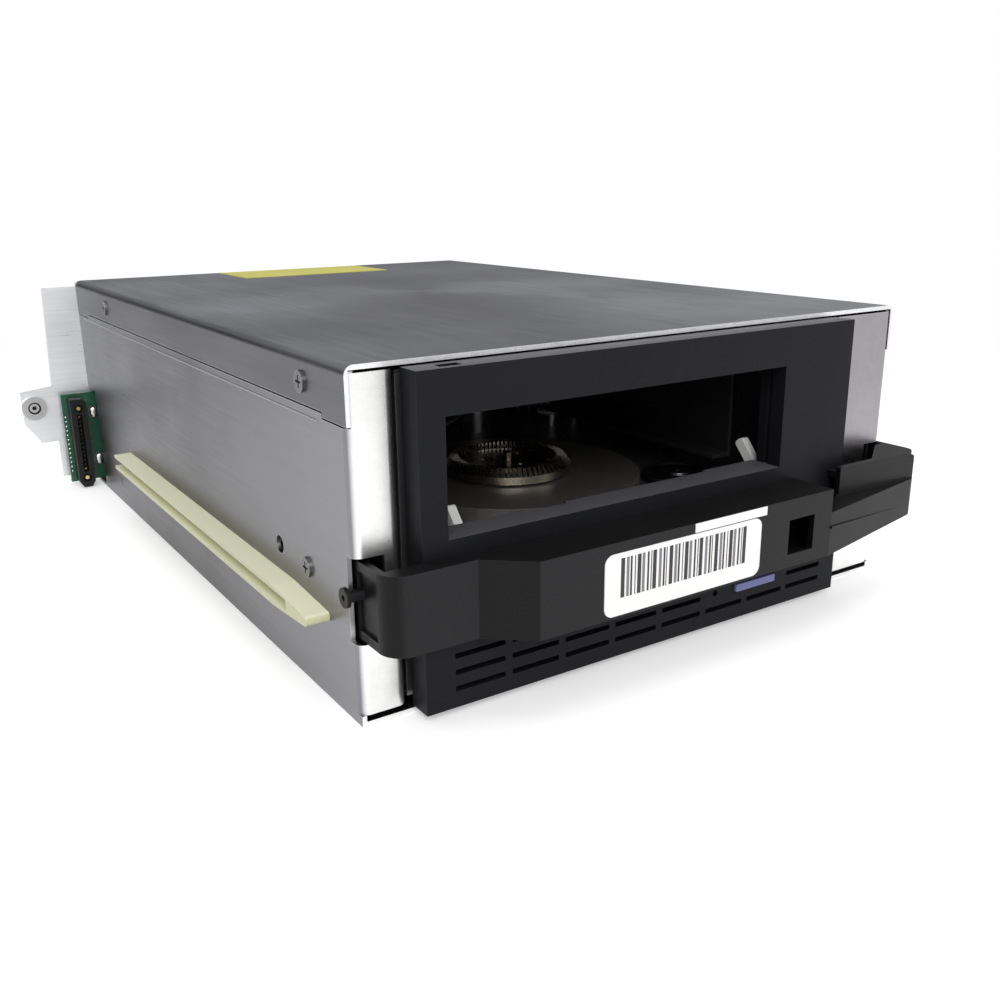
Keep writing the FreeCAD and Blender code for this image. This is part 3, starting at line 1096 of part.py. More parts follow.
def tape_head():
    """Head on a carriage that climbs two posts, driven by a small stepper's lead screw."""
    x, y = HEAD_LEFT, behind("head_back")
    middle = f"(({TAPE_LOW} + {TAPE_HIGH}) / 2)"
    low = f"({middle} - head_carriage_height / 2)"
    slab_left = f"({x} + head_width / 2)"
    slab = box((slab_left, f"({y} - head_carriage_length / 2)", low),
               ("head_carriage_width", "head_carriage_length", "head_carriage_height"))
    post_x = f"({slab_left} + head_carriage_width / 2)"
    ends = (f"({y} - head_carriage_length / 2 + 3.5)", f"({y} + head_carriage_length / 2 - 3.5)")
    bores = [rod("z", (post_x, end, shift(low, "-1")), "head_post_radius + head_post_fit",
                 "head_carriage_height + 2") for end in ends]
    bores.append(rod("z", (post_x, y, shift(low, "-1")), "head_screw_radius + head_post_fit",
                     "head_carriage_height + 2"))
    piece("head_carriage", cut(slab, *bores))
    half = "(tape_width / 2 + 2)"
    head = pad("XY_Plane", [
        (f"{x} - head_width / 2", f"{y} - head_length / 2 + 3"),
        (f"{x} - head_width / 2", f"{y} + head_length / 2 - 3"),
        (slab_left, f"{y} + head_length / 2"), (slab_left, f"{y} - head_length / 2")],
        f"2 * {half}", ("0", "0", f"{middle} - {half}"))
    piece("tape_head", head)
    top = f"({middle} + head_carriage_height / 2 + head_travel + 3)"
    posts = [rod("z", (post_x, end, DECK_TOP), "head_post_radius", f"{top} - {DECK_TOP} + 2")
             for end in ends]
    bridge = box((f"({post_x} - 3)", f"({y} - head_carriage_length / 2)", top),
                 ("6", "head_carriage_length", "2"))
    piece("head_guide_posts", fuse(*posts, cut(bridge, rod("z", (post_x, y, shift(top, "-1")),
                                                           "head_screw_radius + 0.3", "4"))))
    piece("head_stepper", rod("z", (post_x, y, "deck_low - head_motor_height"),
                              "head_motor_radius", "head_motor_height"))
    piece("head_lead_screw", rod("z", (post_x, y, "deck_low"), "head_screw_radius",
                                 f"{top} + 1.4 - deck_low"))


def shift_gear(points, turn):
    """Outline points turned about the gear's centre, in degrees."""
    cosine, sine = math.cos(math.radians(turn)), math.sin(math.radians(turn))
    return [(a * cosine - b * sine, a * sine + b * cosine) for a, b in points]


def gear_outline(teeth, module, backlash):
    """Closed outline of a spur gear with straight-flanked, slightly thinned teeth."""
    pitch_radius = module * teeth / 2
    tip, root = pitch_radius + 0.85 * module, pitch_radius - 1.15 * module
    step = 360 / teeth
    half = math.degrees((math.pi * module / 2 - backlash) / pitch_radius) / 2
    lean = math.degrees(math.tan(math.radians(24)) * module * 0.85 / pitch_radius)
    points = []
    for index in range(teeth):
        middle = index * step
        for angle, radius in ((middle - half - lean * 1.2, root), (middle - half + lean, tip),
                              (middle + half - lean, tip), (middle + half + lean * 1.2, root)):
            points.append((radius * math.cos(math.radians(angle)),
                           radius * math.sin(math.radians(angle))))
    return points


def gear(teeth_word, width, bore, turn=0.0):
    """A gear's solid on its own +Z axis, turned so that chosen teeth mesh."""
    outline = shift_gear(gear_outline(int(number(teeth_word)), number("gear_module"),
                                      number("gear_backlash")), turn)
    wire = Part.makePolygon([FreeCAD.Vector(a, b, 0) for a, b in outline + outline[:1]])
    solid = Part.Face(wire).extrude(FreeCAD.Vector(0, 0, width))
    if bore:
        solid = solid.cut(Part.makeCylinder(bore, width + 2, FreeCAD.Vector(0, 0, -1)))
    return solid


def feature(name, shape, axis, place):
    """A shaped feature standing on an axis, its place tied to the sheet."""
    item = doc.addObject("Part::Feature", "Gear")
    item.Shape = shape
    item.Placement = FreeCAD.Placement(FreeCAD.Vector(), TURNS[axis])
    return piece(name, put(item, place))


# ---------------------------------------------------------------------------
# Loader: tray, cam frame, gears and motor
# ---------------------------------------------------------------------------
TRAY_LEFT = across("tray_left")
TRAY_RIGHT = f"({TRAY_LEFT} + tray_width)"
CAM_LEFT = f"({TRAY_LEFT} - tray_sheet - cam_gap - cam_sheet)"
CAM_RIGHT = f"({TRAY_RIGHT} + tray_sheet + cam_gap)"
PITCH_LINE = "(cam_low - 1.15 * gear_module)"
LOADER_GEAR_RADIUS = "(gear_module * loader_gear_teeth / 2)"
LOADER_MOTOR_RADIUS = "(gear_module * loader_motor_teeth / 2)"
GEAR_X = f"({CAM_LEFT} + (cam_sheet - gear_width) / 2)"
LOADER_AXIS = (behind("loader_gear_back"), f"({PITCH_LINE} - {LOADER_GEAR_RADIUS})")
LOADER_MOTOR_AXIS = (f"({LOADER_AXIS[0]} + {LOADER_GEAR_RADIUS} + {LOADER_MOTOR_RADIUS})",
                     LOADER_AXIS[1])


def cartridge_tray():
    """Folded frame that takes the cartridge; four side pins ride in the cam slots."""
    front = behind("tray_front")
    top = box((f"({TRAY_LEFT} - tray_sheet)", front, "tray_low + tray_height - tray_sheet"),
              ("tray_width + 2 * tray_sheet", "tray_depth", "tray_sheet"))
    sides = [box((low, front, "tray_low"), ("tray_sheet", "tray_depth", "tray_height"))
             for low in (f"({TRAY_LEFT} - tray_sheet)", TRAY_RIGHT)]
    ledges = [box((low, front, "tray_low"), ("tray_flange", "tray_depth", "tray_sheet"))
              for low in (TRAY_LEFT, f"({TRAY_RIGHT} - tray_flange)")]
    view = box((f"({TRAY_LEFT} + 22)", f"({front} + 14)", "tray_low + tray_height - 4"),
               ("tray_width - 44", "tray_depth - 40", "8"))
    pins = []
    for place in ("tray_pin_front", "tray_pin_rear"):
        for low in (f"({TRAY_LEFT} - tray_sheet - cam_gap - cam_sheet - 1)",
                    f"({TRAY_RIGHT} + tray_sheet)"):
            pins.append(rod("x", (low, behind(place), "tray_pin_high"), "tray_pin_radius",
                            "cam_gap + cam_sheet + 1"))
    piece("cartridge_tray", fuse(cut(fuse(top, *sides, *ledges), view), *pins))


def loader_cam_frame():
    """Two slotted side plates joined over the tray, with a rack under the left one."""
    front = behind("cam_front")
    plates = [box((low, front, "cam_low"), ("cam_sheet", "cam_length", "cam_height"))
              for low in (CAM_LEFT, CAM_RIGHT)]
    bridge_low = "(cam_low + cam_height)"
    bridge = box((CAM_LEFT, f"({front} + cam_length - 12)", bridge_low),
                 (f"{CAM_RIGHT} + cam_sheet - {CAM_LEFT}", "12", "1.2"))
    play = "(tray_pin_radius + cam_slot_play)"
    slots = []
    for low in (CAM_LEFT, CAM_RIGHT):
        for place in ("tray_pin_front", "tray_pin_rear"):
            here = behind(place)
            slots.append(pad("YZ_Plane", [
                (f"{here} - cam_travel", f"tray_pin_high - tray_drop - {play}"),
                (f"{here}", f"tray_pin_high - {play}"), (f"{here}", f"tray_pin_high + {play}"),
                (f"{here} - cam_travel", f"tray_pin_high - tray_drop + {play}")],
                "cam_sheet + 2", (shift(low, "-1"), "0", "0")))
            for along, high in (("0", "0"), ("cam_travel", "tray_drop")):
                slots.append(rod("x", (shift(low, "-1"), f"({here} - {along})",
                                       f"tray_pin_high - {high}"), play, "cam_sheet + 2"))
    module = "gear_module"
    teeth = []
    for index in range(int(number("rack_teeth"))):
        middle = f"({behind('loader_gear_back')} + ({index} - rack_teeth + 3.5) * pi * {module})"
        half = f"(pi * {module} / 4 - gear_backlash / 2)"
        teeth.append(pad("YZ_Plane", [
            (f"{middle} - {half} - 0.5 * {module}", "cam_low + 0.2"),
            (f"{middle} - {half} + 0.35 * {module}", f"{PITCH_LINE} - 0.85 * {module}"),
            (f"{middle} + {half} - 0.35 * {module}", f"{PITCH_LINE} - 0.85 * {module}"),
            (f"{middle} + {half} + 0.5 * {module}", "cam_low + 0.2")],
            "cam_sheet", (CAM_LEFT, "0", "0")))
    piece("loader_cam_frame", cut(fuse(*plates, bridge, *teeth), *slots))


def loader_gears():
    width = number("gear_width")
    bore = number("gear_bore_radius + spindle_fit")
    feature("loader_gear", gear("loader_gear_teeth", width, bore), "x", (GEAR_X, *LOADER_AXIS))
    arbor_low = f"({DRIVE_LEFT} + casting_wall)"
    share("side_pivots", fuse(
        rod("x", (arbor_low, *LOADER_AXIS), "gear_bore_radius",
            f"{GEAR_X} + gear_width + 0.1 - {arbor_low}"),
        rod("x", (arbor_low, *LOADER_AXIS), "gear_bore_radius + 1.5",
            f"{GEAR_X} - 0.3 - {arbor_low}")))
    half_step = 180 / number("loader_motor_teeth")
    feature("loader_motor_gear", gear("loader_motor_teeth", width, 0, half_step), "x",
            (GEAR_X, *LOADER_MOTOR_AXIS))
    can_low = f"({GEAR_X} - 0.6 - loader_motor_length)"
    piece("loader_motor", rod("x", (can_low, *LOADER_MOTOR_AXIS), "loader_motor_radius",
                              "loader_motor_length"))


LEVERS = (
    ("cartridge_lever_left", across("lever_left_inner"), -1, "lever_left_front",
     "lever_left_low"),
    ("cartridge_lever_right", f"({TRAY_RIGHT} + tray_sheet + lever_gap)", 1, "lever_front",
     "lever_low"))


def cartridge_levers():
    """White spring levers either side of the slot, each on its own pin and bracket."""
    brackets = []
    lean_up, lean_back = "cos(lever_lean)", "sin(lever_lean)"
    half = "(lever_width / 2)"
    for name, low, way, front, under in LEVERS:
        pivot = (behind(front), f"({under} + lever_width / 2)")
        foot = (f"({pivot[0]} - {half} * {lean_up})", f"({pivot[1]} + {half} * {lean_back})")
        heel = (f"({pivot[0]} + {half} * {lean_up})", f"({pivot[1]} - {half} * {lean_back})")
        rise = (f"lever_rise * {lean_back}", f"lever_rise * {lean_up}")
        outline = [foot, heel, (f"{heel[0]} + {rise[0]}", f"{heel[1]} + {rise[1]}"),
                   (f"{foot[0]} + {rise[0]}", f"{foot[1]} + {rise[1]}")]
        blade = pad("YZ_Plane", outline, "lever_thickness", (low, "0", "0"),
                    [((2, 3), "lever_width * 0.3")])
        boss = rod("x", (low, *pivot), half, "lever_thickness")
        bore = rod("x", (shift(low, "-1"), *pivot), "lever_pin_radius + spindle_fit",
                   "lever_thickness + 2")
        piece(name, cut(fuse(blade, boss), bore))
        block_low = (f"({low} - lever_side_gap - lever_block)" if way < 0
                     else f"({low} + lever_thickness + lever_side_gap)")
        pin_low = f"({low} - lever_side_gap)" if way < 0 else low
        stand = box((block_low, f"({pivot[0]} - lever_block_depth / 2)", DECK_TOP),
                    ("lever_block", "lever_block_depth", f"{pivot[1]} + 2 - {DECK_TOP}"))
        pin = rod("x", (pin_low, *pivot), "lever_pin_radius",
                  "lever_thickness + lever_side_gap")
        brackets.append(fuse(stand, pin))
    share("side_pivots", *brackets)


# ---------------------------------------------------------------------------
# Threader: the arm that takes the leader round to the take-up reel
# ---------------------------------------------------------------------------
THREADER = (f"({TAKEUP[0]} + (takeup_radius + threader_clear) * cos(threader_bearing))",
            f"({TAKEUP[1]} + (takeup_radius + threader_clear) * sin(threader_bearing))")


def threader():
    x, y = THREADER
    reach = "(gear_module * (threader_gear_teeth + threader_motor_teeth) / 2)"
    low = "threader_low"
    half = "(threader_width / 2)"

    def swung(along, aside):
        return (f"({x} + ({along}) * cos(threader_rest) - ({aside}) * sin(threader_rest))",
                f"({y} + ({along}) * sin(threader_rest) + ({aside}) * cos(threader_rest))")

    arm = pad("XY_Plane", [
        swung("0", f"-{half}"), swung("threader_reach", f"-{half}"),
        swung("threader_reach", half), swung("0", half)],
        "threader_thickness", ("0", "0", low))
    tip_place = swung("threader_reach", "0")
    tip = rod("z", (*tip_place, low), half, "threader_thickness")
    hub = rod("z", (x, y, "threader_low - 0.6"), "threader_width / 2 + 0.5",
              "threader_thickness + 1.6")
    bore = rod("z", (x, y, "threader_low - 5"), "gear_bore_radius + threader_fit", "12")
    piece("threader_arm", cut(fuse(arm, tip, hub), bore))
    grab = fuse(rod("z", (*tip_place, "threader_low - 2"), "threader_width / 2 - 0.8", "2"),
                rod("z", (*tip_place, "threader_low - 3.2"), "1.1", "2"))
    piece("leader_grabber", grab)
    gear_low = "(threader_low - 0.6 - gear_width)"
    width, bore_radius = number("gear_width"), number("gear_bore_radius + threader_fit")
    facing = number("threader_motor_angle")
    feature("threader_gear", gear("threader_gear_teeth", width, bore_radius, facing), "z",
            (x, y, gear_low))
    motor = (f"({x} + {reach} * cos(threader_motor_angle))",
             f"({y} + {reach} * sin(threader_motor_angle))")
    half_step = 180 / number("threader_motor_teeth")
    feature("threader_pinion", gear("threader_motor_teeth", width, 0, facing + 180 + half_step),
            "z", (*motor, gear_low))
    piece("threader_motor", rod("z", (*motor, DECK_TOP), "threader_motor_radius",
                                f"{gear_low} - 0.4 - {DECK_TOP}"))
    share("deck_posts", fuse(
        rod("z", (x, y, DECK_TOP), "gear_bore_radius",
            f"threader_low + threader_thickness + 1.3 - {DECK_TOP}"),
        rod("z", (x, y, DECK_TOP), "gear_bore_radius + 1.5", f"{gear_low} - 0.3 - {DECK_TOP}")))


# ---------------------------------------------------------------------------
# Rear: fan, host socket and pull handle
# ---------------------------------------------------------------------------
def cooling_fan():
    x, z = FAN_CENTRE
    front = f"({BACK} - fan_depth)"
    frame = box((f"({x} - fan_size / 2)", front, f"({z} - fan_size / 2)"),
                ("fan_size", "fan_depth", "fan_size"))
    tunnel = rod("y", (x, shift(front, "-1"), z), "fan_bore", "fan_depth + 2")
    holes = [rod("y", (a, shift(front, "-1"), b), "fan_hole_radius", "fan_depth + 2")
             for a, b in FAN_SCREWS]
    arms = [box((f"({x} - fan_bore - 0.5)", f"({BACK} - 3)", f"({z} - 2)"),
                ("2 * fan_bore + 1", "2.5", "4")),
            box((f"({x} - 2)", f"({BACK} - 3)", f"({z} - fan_bore - 0.5)"),
                ("4", "2.5", "2 * fan_bore + 1"))]
    cup = rod("y", (x, f"({BACK} - 3)", z), "fan_hub_radius", "2.5")
    axle = rod("y", (x, f"({front} + 4)", z), "fan_axle_radius", "fan_depth - 5")
    piece("fan_frame", fuse(cut(frame, tunnel, *holes), *arms, cup, axle))
    hub_front, hub_depth = f"({front} + fan_hub_clear)", "(fan_depth - fan_hub_clear - 4)"
    hub = cut(rod("y", (x, hub_front, z), "fan_hub_radius", hub_depth),
              rod("y", (x, shift(hub_front, "1"), z), "fan_axle_radius + spindle_fit", "fan_depth"))
    blades = []
    count = int(number("fan_blade_count"))
    centre = FreeCAD.Vector(number(x), number(hub_front) + number(hub_depth) / 2, number(z))
    length = number("fan_blade_reach - fan_hub_radius + 1")
    chord, thickness = number("fan_blade_chord"), number("fan_blade_thickness")
    for index in range(count):
        blade = Part.makeBox(length, thickness, chord,
                             FreeCAD.Vector(0, -thickness / 2, -chord / 2))
        blade.rotate(FreeCAD.Vector(), FreeCAD.Vector(1, 0, 0), number("fan_blade_pitch"))
        blade.translate(FreeCAD.Vector(number("fan_hub_radius - 1"), 0, 0))
        blade.rotate(FreeCAD.Vector(), FreeCAD.Vector(0, 1, 0), 360 * index / count)
        blade.translate(centre)
        item = doc.addObject("Part::Feature", "Blade")
        item.Shape = blade
        blades.append(item)
    trim = cut(rod("y", (x, shift(hub_front, "0.3"), z), "fan_blade_reach",
                   f"{hub_depth} - 0.6"),
               rod("y", (x, hub_front, z), "fan_hub_radius - 0.8", "fan_depth"))
    piece("fan_rotor", fuse(hub, common(fuse(*blades), trim)))
    share("case_screws", *[screw("y", (a, f"({BACK} + rear_plate_thickness)", b), 1)
                           for a, b in FAN_SCREWS])


def rear_fittings():
    """Host socket through the plate, and a pull handle screwed to it."""
    outside = f"({BACK} + rear_plate_thickness)"
    shell = box((across("socket_left"), f"({outside} + socket_proud - socket_depth)",
                 "socket_low"), ("socket_width", "socket_depth", "socket_height"))
    mouth = box((across("socket_left + 2"), f"({outside} + socket_proud - 8)",
                 "socket_low + 2"), ("socket_width - 4", "12", "socket_height - 4"))
    tongue = box((across("socket_left + 5"), f"({outside} + socket_proud - 9)",
                  "socket_low + socket_height / 2 - 0.8"),
                 ("socket_width - 10", "7.5", "1.6"))
    piece("host_socket", fuse(cut(shell, mouth), tongue))
    lefts = HANDLE_FEET
    stems = [rod("y", (x, outside, "handle_low"), "handle_radius - 0.4",
                 "handle_stand_off") for x in lefts]
    bar = rod("x", (f"({lefts[0]} - handle_radius - 2)",
                    f"({outside} + handle_stand_off)", "handle_low"), "handle_radius",
              "handle_span + 2 * handle_radius + 4")
    tangs = [rod("y", (x, f"({BACK} - 1)", "handle_low"), "handle_radius - 0.8",
                 "rear_plate_thickness + 1.5") for x in lefts]
    piece("pull_handle", fuse(*stems, bar, *tangs))


BUILDERS = [
    sled_tray, top_cover, cover_screws, drive_screws, drive_spacers, rear_plate, captive_screw,
    interface_board, front_bezel, eject_button, status_display, adapter_shroud, labels,
    drive_base, drive_covers, logic_board, ribbon_cable, controller_board, reel_clutch,
    takeup_reel, guide_rollers, tape_head, cartridge_tray, loader_cam_frame, loader_gears,
    cartridge_levers, threader, cooling_fan, rear_fittings,
]

for build in BUILDERS:
    build()
side_rail("side_rail_left", LEFT, -1)
side_rail("side_rail_right", RIGHT, 1)
reel_motor("cartridge_reel_motor", CLUTCH, "motor_flange_radius")
reel_motor("takeup_reel_motor", TAKEUP, "motor_can_radius + 4")

for name, items in shared.items():
    piece(name, group(*items))

doc.recompute()
for item in doc.Objects:
    if "Invalid" in item.State or "Error" in item.State:
        raise RuntimeError(f"{item.Label} ({item.Name}) did not build: {item.State}")
os.makedirs("parts", exist_ok=True)
for name, item in pieces.items():
    if item.Shape.isNull() or not item.Shape.isValid():
        raise RuntimeError(f"{name} has no valid shape")
    item.Shape.exportStep(f"parts/{name}.step")
print(len(pieces), "sub-parts")
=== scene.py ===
"""Looks of the data tape drive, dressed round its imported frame. Metres, row frame."""
import math

import bmesh
import bpy
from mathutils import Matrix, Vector


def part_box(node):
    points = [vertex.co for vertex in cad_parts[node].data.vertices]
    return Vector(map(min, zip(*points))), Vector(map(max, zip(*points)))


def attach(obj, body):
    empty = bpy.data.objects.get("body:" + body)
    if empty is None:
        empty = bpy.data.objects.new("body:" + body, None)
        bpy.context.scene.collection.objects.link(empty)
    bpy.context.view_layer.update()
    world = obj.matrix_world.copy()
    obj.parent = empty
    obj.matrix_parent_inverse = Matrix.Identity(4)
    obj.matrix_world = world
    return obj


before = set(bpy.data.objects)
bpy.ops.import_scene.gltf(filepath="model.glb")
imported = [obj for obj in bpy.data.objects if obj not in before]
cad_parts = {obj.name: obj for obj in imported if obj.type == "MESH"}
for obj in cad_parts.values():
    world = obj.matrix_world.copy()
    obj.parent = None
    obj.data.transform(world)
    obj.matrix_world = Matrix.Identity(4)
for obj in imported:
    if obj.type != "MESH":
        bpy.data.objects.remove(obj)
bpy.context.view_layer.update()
MM = 0.001

# ---------------------------------------------------------------------------
# Camera, floor and light
# ---------------------------------------------------------------------------
CAMERA_PLACE = (-0.18604, -0.33618, 0.12480)
CAMERA_TURN = (72.891, 0.588, -33.378)
CAMERA_LENS = 36.732
CAMERA_SENSOR = 36
CAMERA_NEAR = 0.01
WHITE = (1, 1, 1, 1)
AMBIENT = 0.55
BACKDROP = 1.0
FLOOR_HALF = 6.0
FLOOR_COLOUR = (0.80, 0.80, 0.80, 1)
FLOOR_LIFT = 0.34
FADE_START, FADE_END = 0.26, 0.62
CARD_BLUE = 1.06


def add_camera():
    data = bpy.data.cameras.new("camera")
    data.lens = CAMERA_LENS
    data.sensor_width = CAMERA_SENSOR
    data.clip_start = CAMERA_NEAR
    camera = bpy.data.objects.new("camera", data)
    camera.location = CAMERA_PLACE
    camera.rotation_euler = [math.radians(angle) for angle in CAMERA_TURN]
    bpy.context.scene.collection.objects.link(camera)
    bpy.context.scene.camera = camera


def add_lamp(name, place, aim, size, power):
    data = bpy.data.lights.new(name, "AREA")
    data.shape = "RECTANGLE"
    data.size, data.size_y = size
    data.energy = power
    lamp = bpy.data.objects.new(name, data)
    lamp.location = place
    lamp.rotation_euler = (Vector(aim) - Vector(place)).to_track_quat("-Z", "Y").to_euler()
    bpy.context.scene.collection.objects.link(lamp)


def seen_directly(tree):
    """1 for camera, glossy and transmission rays, 0 for the others."""
    path = tree.nodes.new("ShaderNodeLightPath")
    total = path.outputs["Is Camera Ray"]
    for name in ("Is Glossy Ray", "Is Transmission Ray"):
        add = tree.nodes.new("ShaderNodeMath")
        add.operation = "MAXIMUM"
        tree.links.new(total, add.inputs[0])
        tree.links.new(path.outputs[name], add.inputs[1])
        total = add.outputs[0]
    return total


def add_world():
    """Plain white where it is seen, and a weaker white that lights the object."""
    world = bpy.data.worlds.new("studio")
    bpy.context.scene.world = world
    world.use_nodes = True
    tree = world.node_tree
    background = tree.nodes["Background"]
    mix = tree.nodes.new("ShaderNodeMix")
    mix.data_type = "FLOAT"
    mix.inputs["A"].default_value = AMBIENT
    mix.inputs["B"].default_value = BACKDROP
    tree.links.new(seen_directly(tree), mix.inputs["Factor"])
    tree.links.new(mix.outputs["Result"], background.inputs["Strength"])
    background.inputs["Color"].default_value = WHITE


def add_floor():
    """A pale floor that keeps the shadow near the object and turns plain white further out."""
    mesh = bpy.data.meshes.new("floor")
    corners = [(across * FLOOR_HALF, back * FLOOR_HALF, 0)
               for across, back in ((-1, -1), (1, -1), (1, 1), (-1, 1))]
    mesh.from_pydata(corners, [], [(0, 1, 2, 3)])
    floor = bpy.data.objects.new("floor", mesh)
    bpy.context.scene.collection.objects.link(floor)
    material = bpy.data.materials.new("floor_white")
    material.use_nodes = True
    tree = material.node_tree
    shader = tree.nodes["Principled BSDF"]
    shader.inputs["Base Color"].default_value = FLOOR_COLOUR
    shader.inputs["Roughness"].default_value = 0.9
    shader.inputs["Specular IOR Level"].default_value = 0.1
    lift = tree.nodes.new("ShaderNodeEmission")
    lift.inputs["Strength"].default_value = FLOOR_LIFT
    lifted = tree.nodes.new("ShaderNodeAddShader")
    tree.links.new(shader.outputs[0], lifted.inputs[0])
    tree.links.new(lift.outputs[0], lifted.inputs[1])
    white = tree.nodes.new("ShaderNodeEmission")
    place = tree.nodes.new("ShaderNodeTexCoord")
    reach = tree.nodes.new("ShaderNodeVectorMath")
    reach.operation = "LENGTH"
    tree.links.new(place.outputs["Object"], reach.inputs[0])
    fade = tree.nodes.new("ShaderNodeMapRange")
    fade.interpolation_type = "SMOOTHSTEP"
    fade.inputs["From Min"].default_value = FADE_START
    fade.inputs["From Max"].default_value = FADE_END
    tree.links.new(reach.outputs["Value"], fade.inputs["Value"])
    backdrop = tree.nodes.new("ShaderNodeMixShader")
    tree.links.new(fade.outputs["Result"], backdrop.inputs["Fac"])
    tree.links.new(lifted.outputs[0], backdrop.inputs[1])
    tree.links.new(white.outputs[0], backdrop.inputs[2])
    gate = tree.nodes.new("ShaderNodeMixShader")
    tree.links.new(seen_directly(tree), gate.inputs["Fac"])
    tree.links.new(shader.outputs[0], gate.inputs[1])
    tree.links.new(backdrop.outputs[0], gate.inputs[2])
    tree.links.new(gate.outputs[0], tree.nodes["Material Output"].inputs["Surface"])
    mesh.materials.append(material)


def add_card(name, start, end, low, high, level):
    """An upright grey card between two floor points, which only reflections see."""
    corners = [(*start, low), (*end, low), (*end, high), (*start, high)]
    mesh = bpy.data.meshes.new(name)
    mesh.from_pydata(corners, [], [(0, 1, 2, 3)])
    card = bpy.data.objects.new(name, mesh)
    bpy.context.scene.collection.objects.link(card)
    material = bpy.data.materials.new(name)
    material.use_nodes = True
    tree = material.node_tree
    glow = tree.nodes.new("ShaderNodeEmission")
    glow.inputs["Color"].default_value = (level, level, level * CARD_BLUE, 1)
    tree.links.new(glow.outputs[0], tree.nodes["Material Output"].inputs["Surface"])
    mesh.materials.append(material)
    for ray in ("camera", "diffuse", "transmission", "shadow"):
        setattr(card, f"visible_{ray}", False)


add_camera()
add_world()
add_floor()
add_lamp("key", (-0.55, -1.15, 0.95), (0, 0, 0.05), (0.8, 0.8), 13)
add_lamp("top", (0.1, 0.1, 1.5), (0, 0, 0.05), (1.2, 1.2), 9)
add_lamp("front_right", (0.9, -1.2, 0.45), (0, -0.1, 0.05), (0.7, 0.7), 1.2)
add_card("left_flag", (-1.4, 0.55), (-0.45, 1.6), 0.02, 0.6, 0.10)
add_card("rear_flag", (-0.6, 1.5), (2.8, 1.5), 0.08, 1.3, 0.24)
bpy.context.scene.view_settings.view_transform = "Standard"


# ---------------------------------------------------------------------------
# Material graphs
# ---------------------------------------------------------------------------
NOISE_SPAN = (0.3, 0.7)
CLOUD_SPAN = (0.35, 0.65)
BEVEL_SAMPLES = 4
EDGE_START, EDGE_END = 0.02, 0.25
PALE_EDGE_WIDTH = 0.0004
LONG_GRAIN = 0.012
WALL_PLAIN, WALL_END = 0.02, 0.134


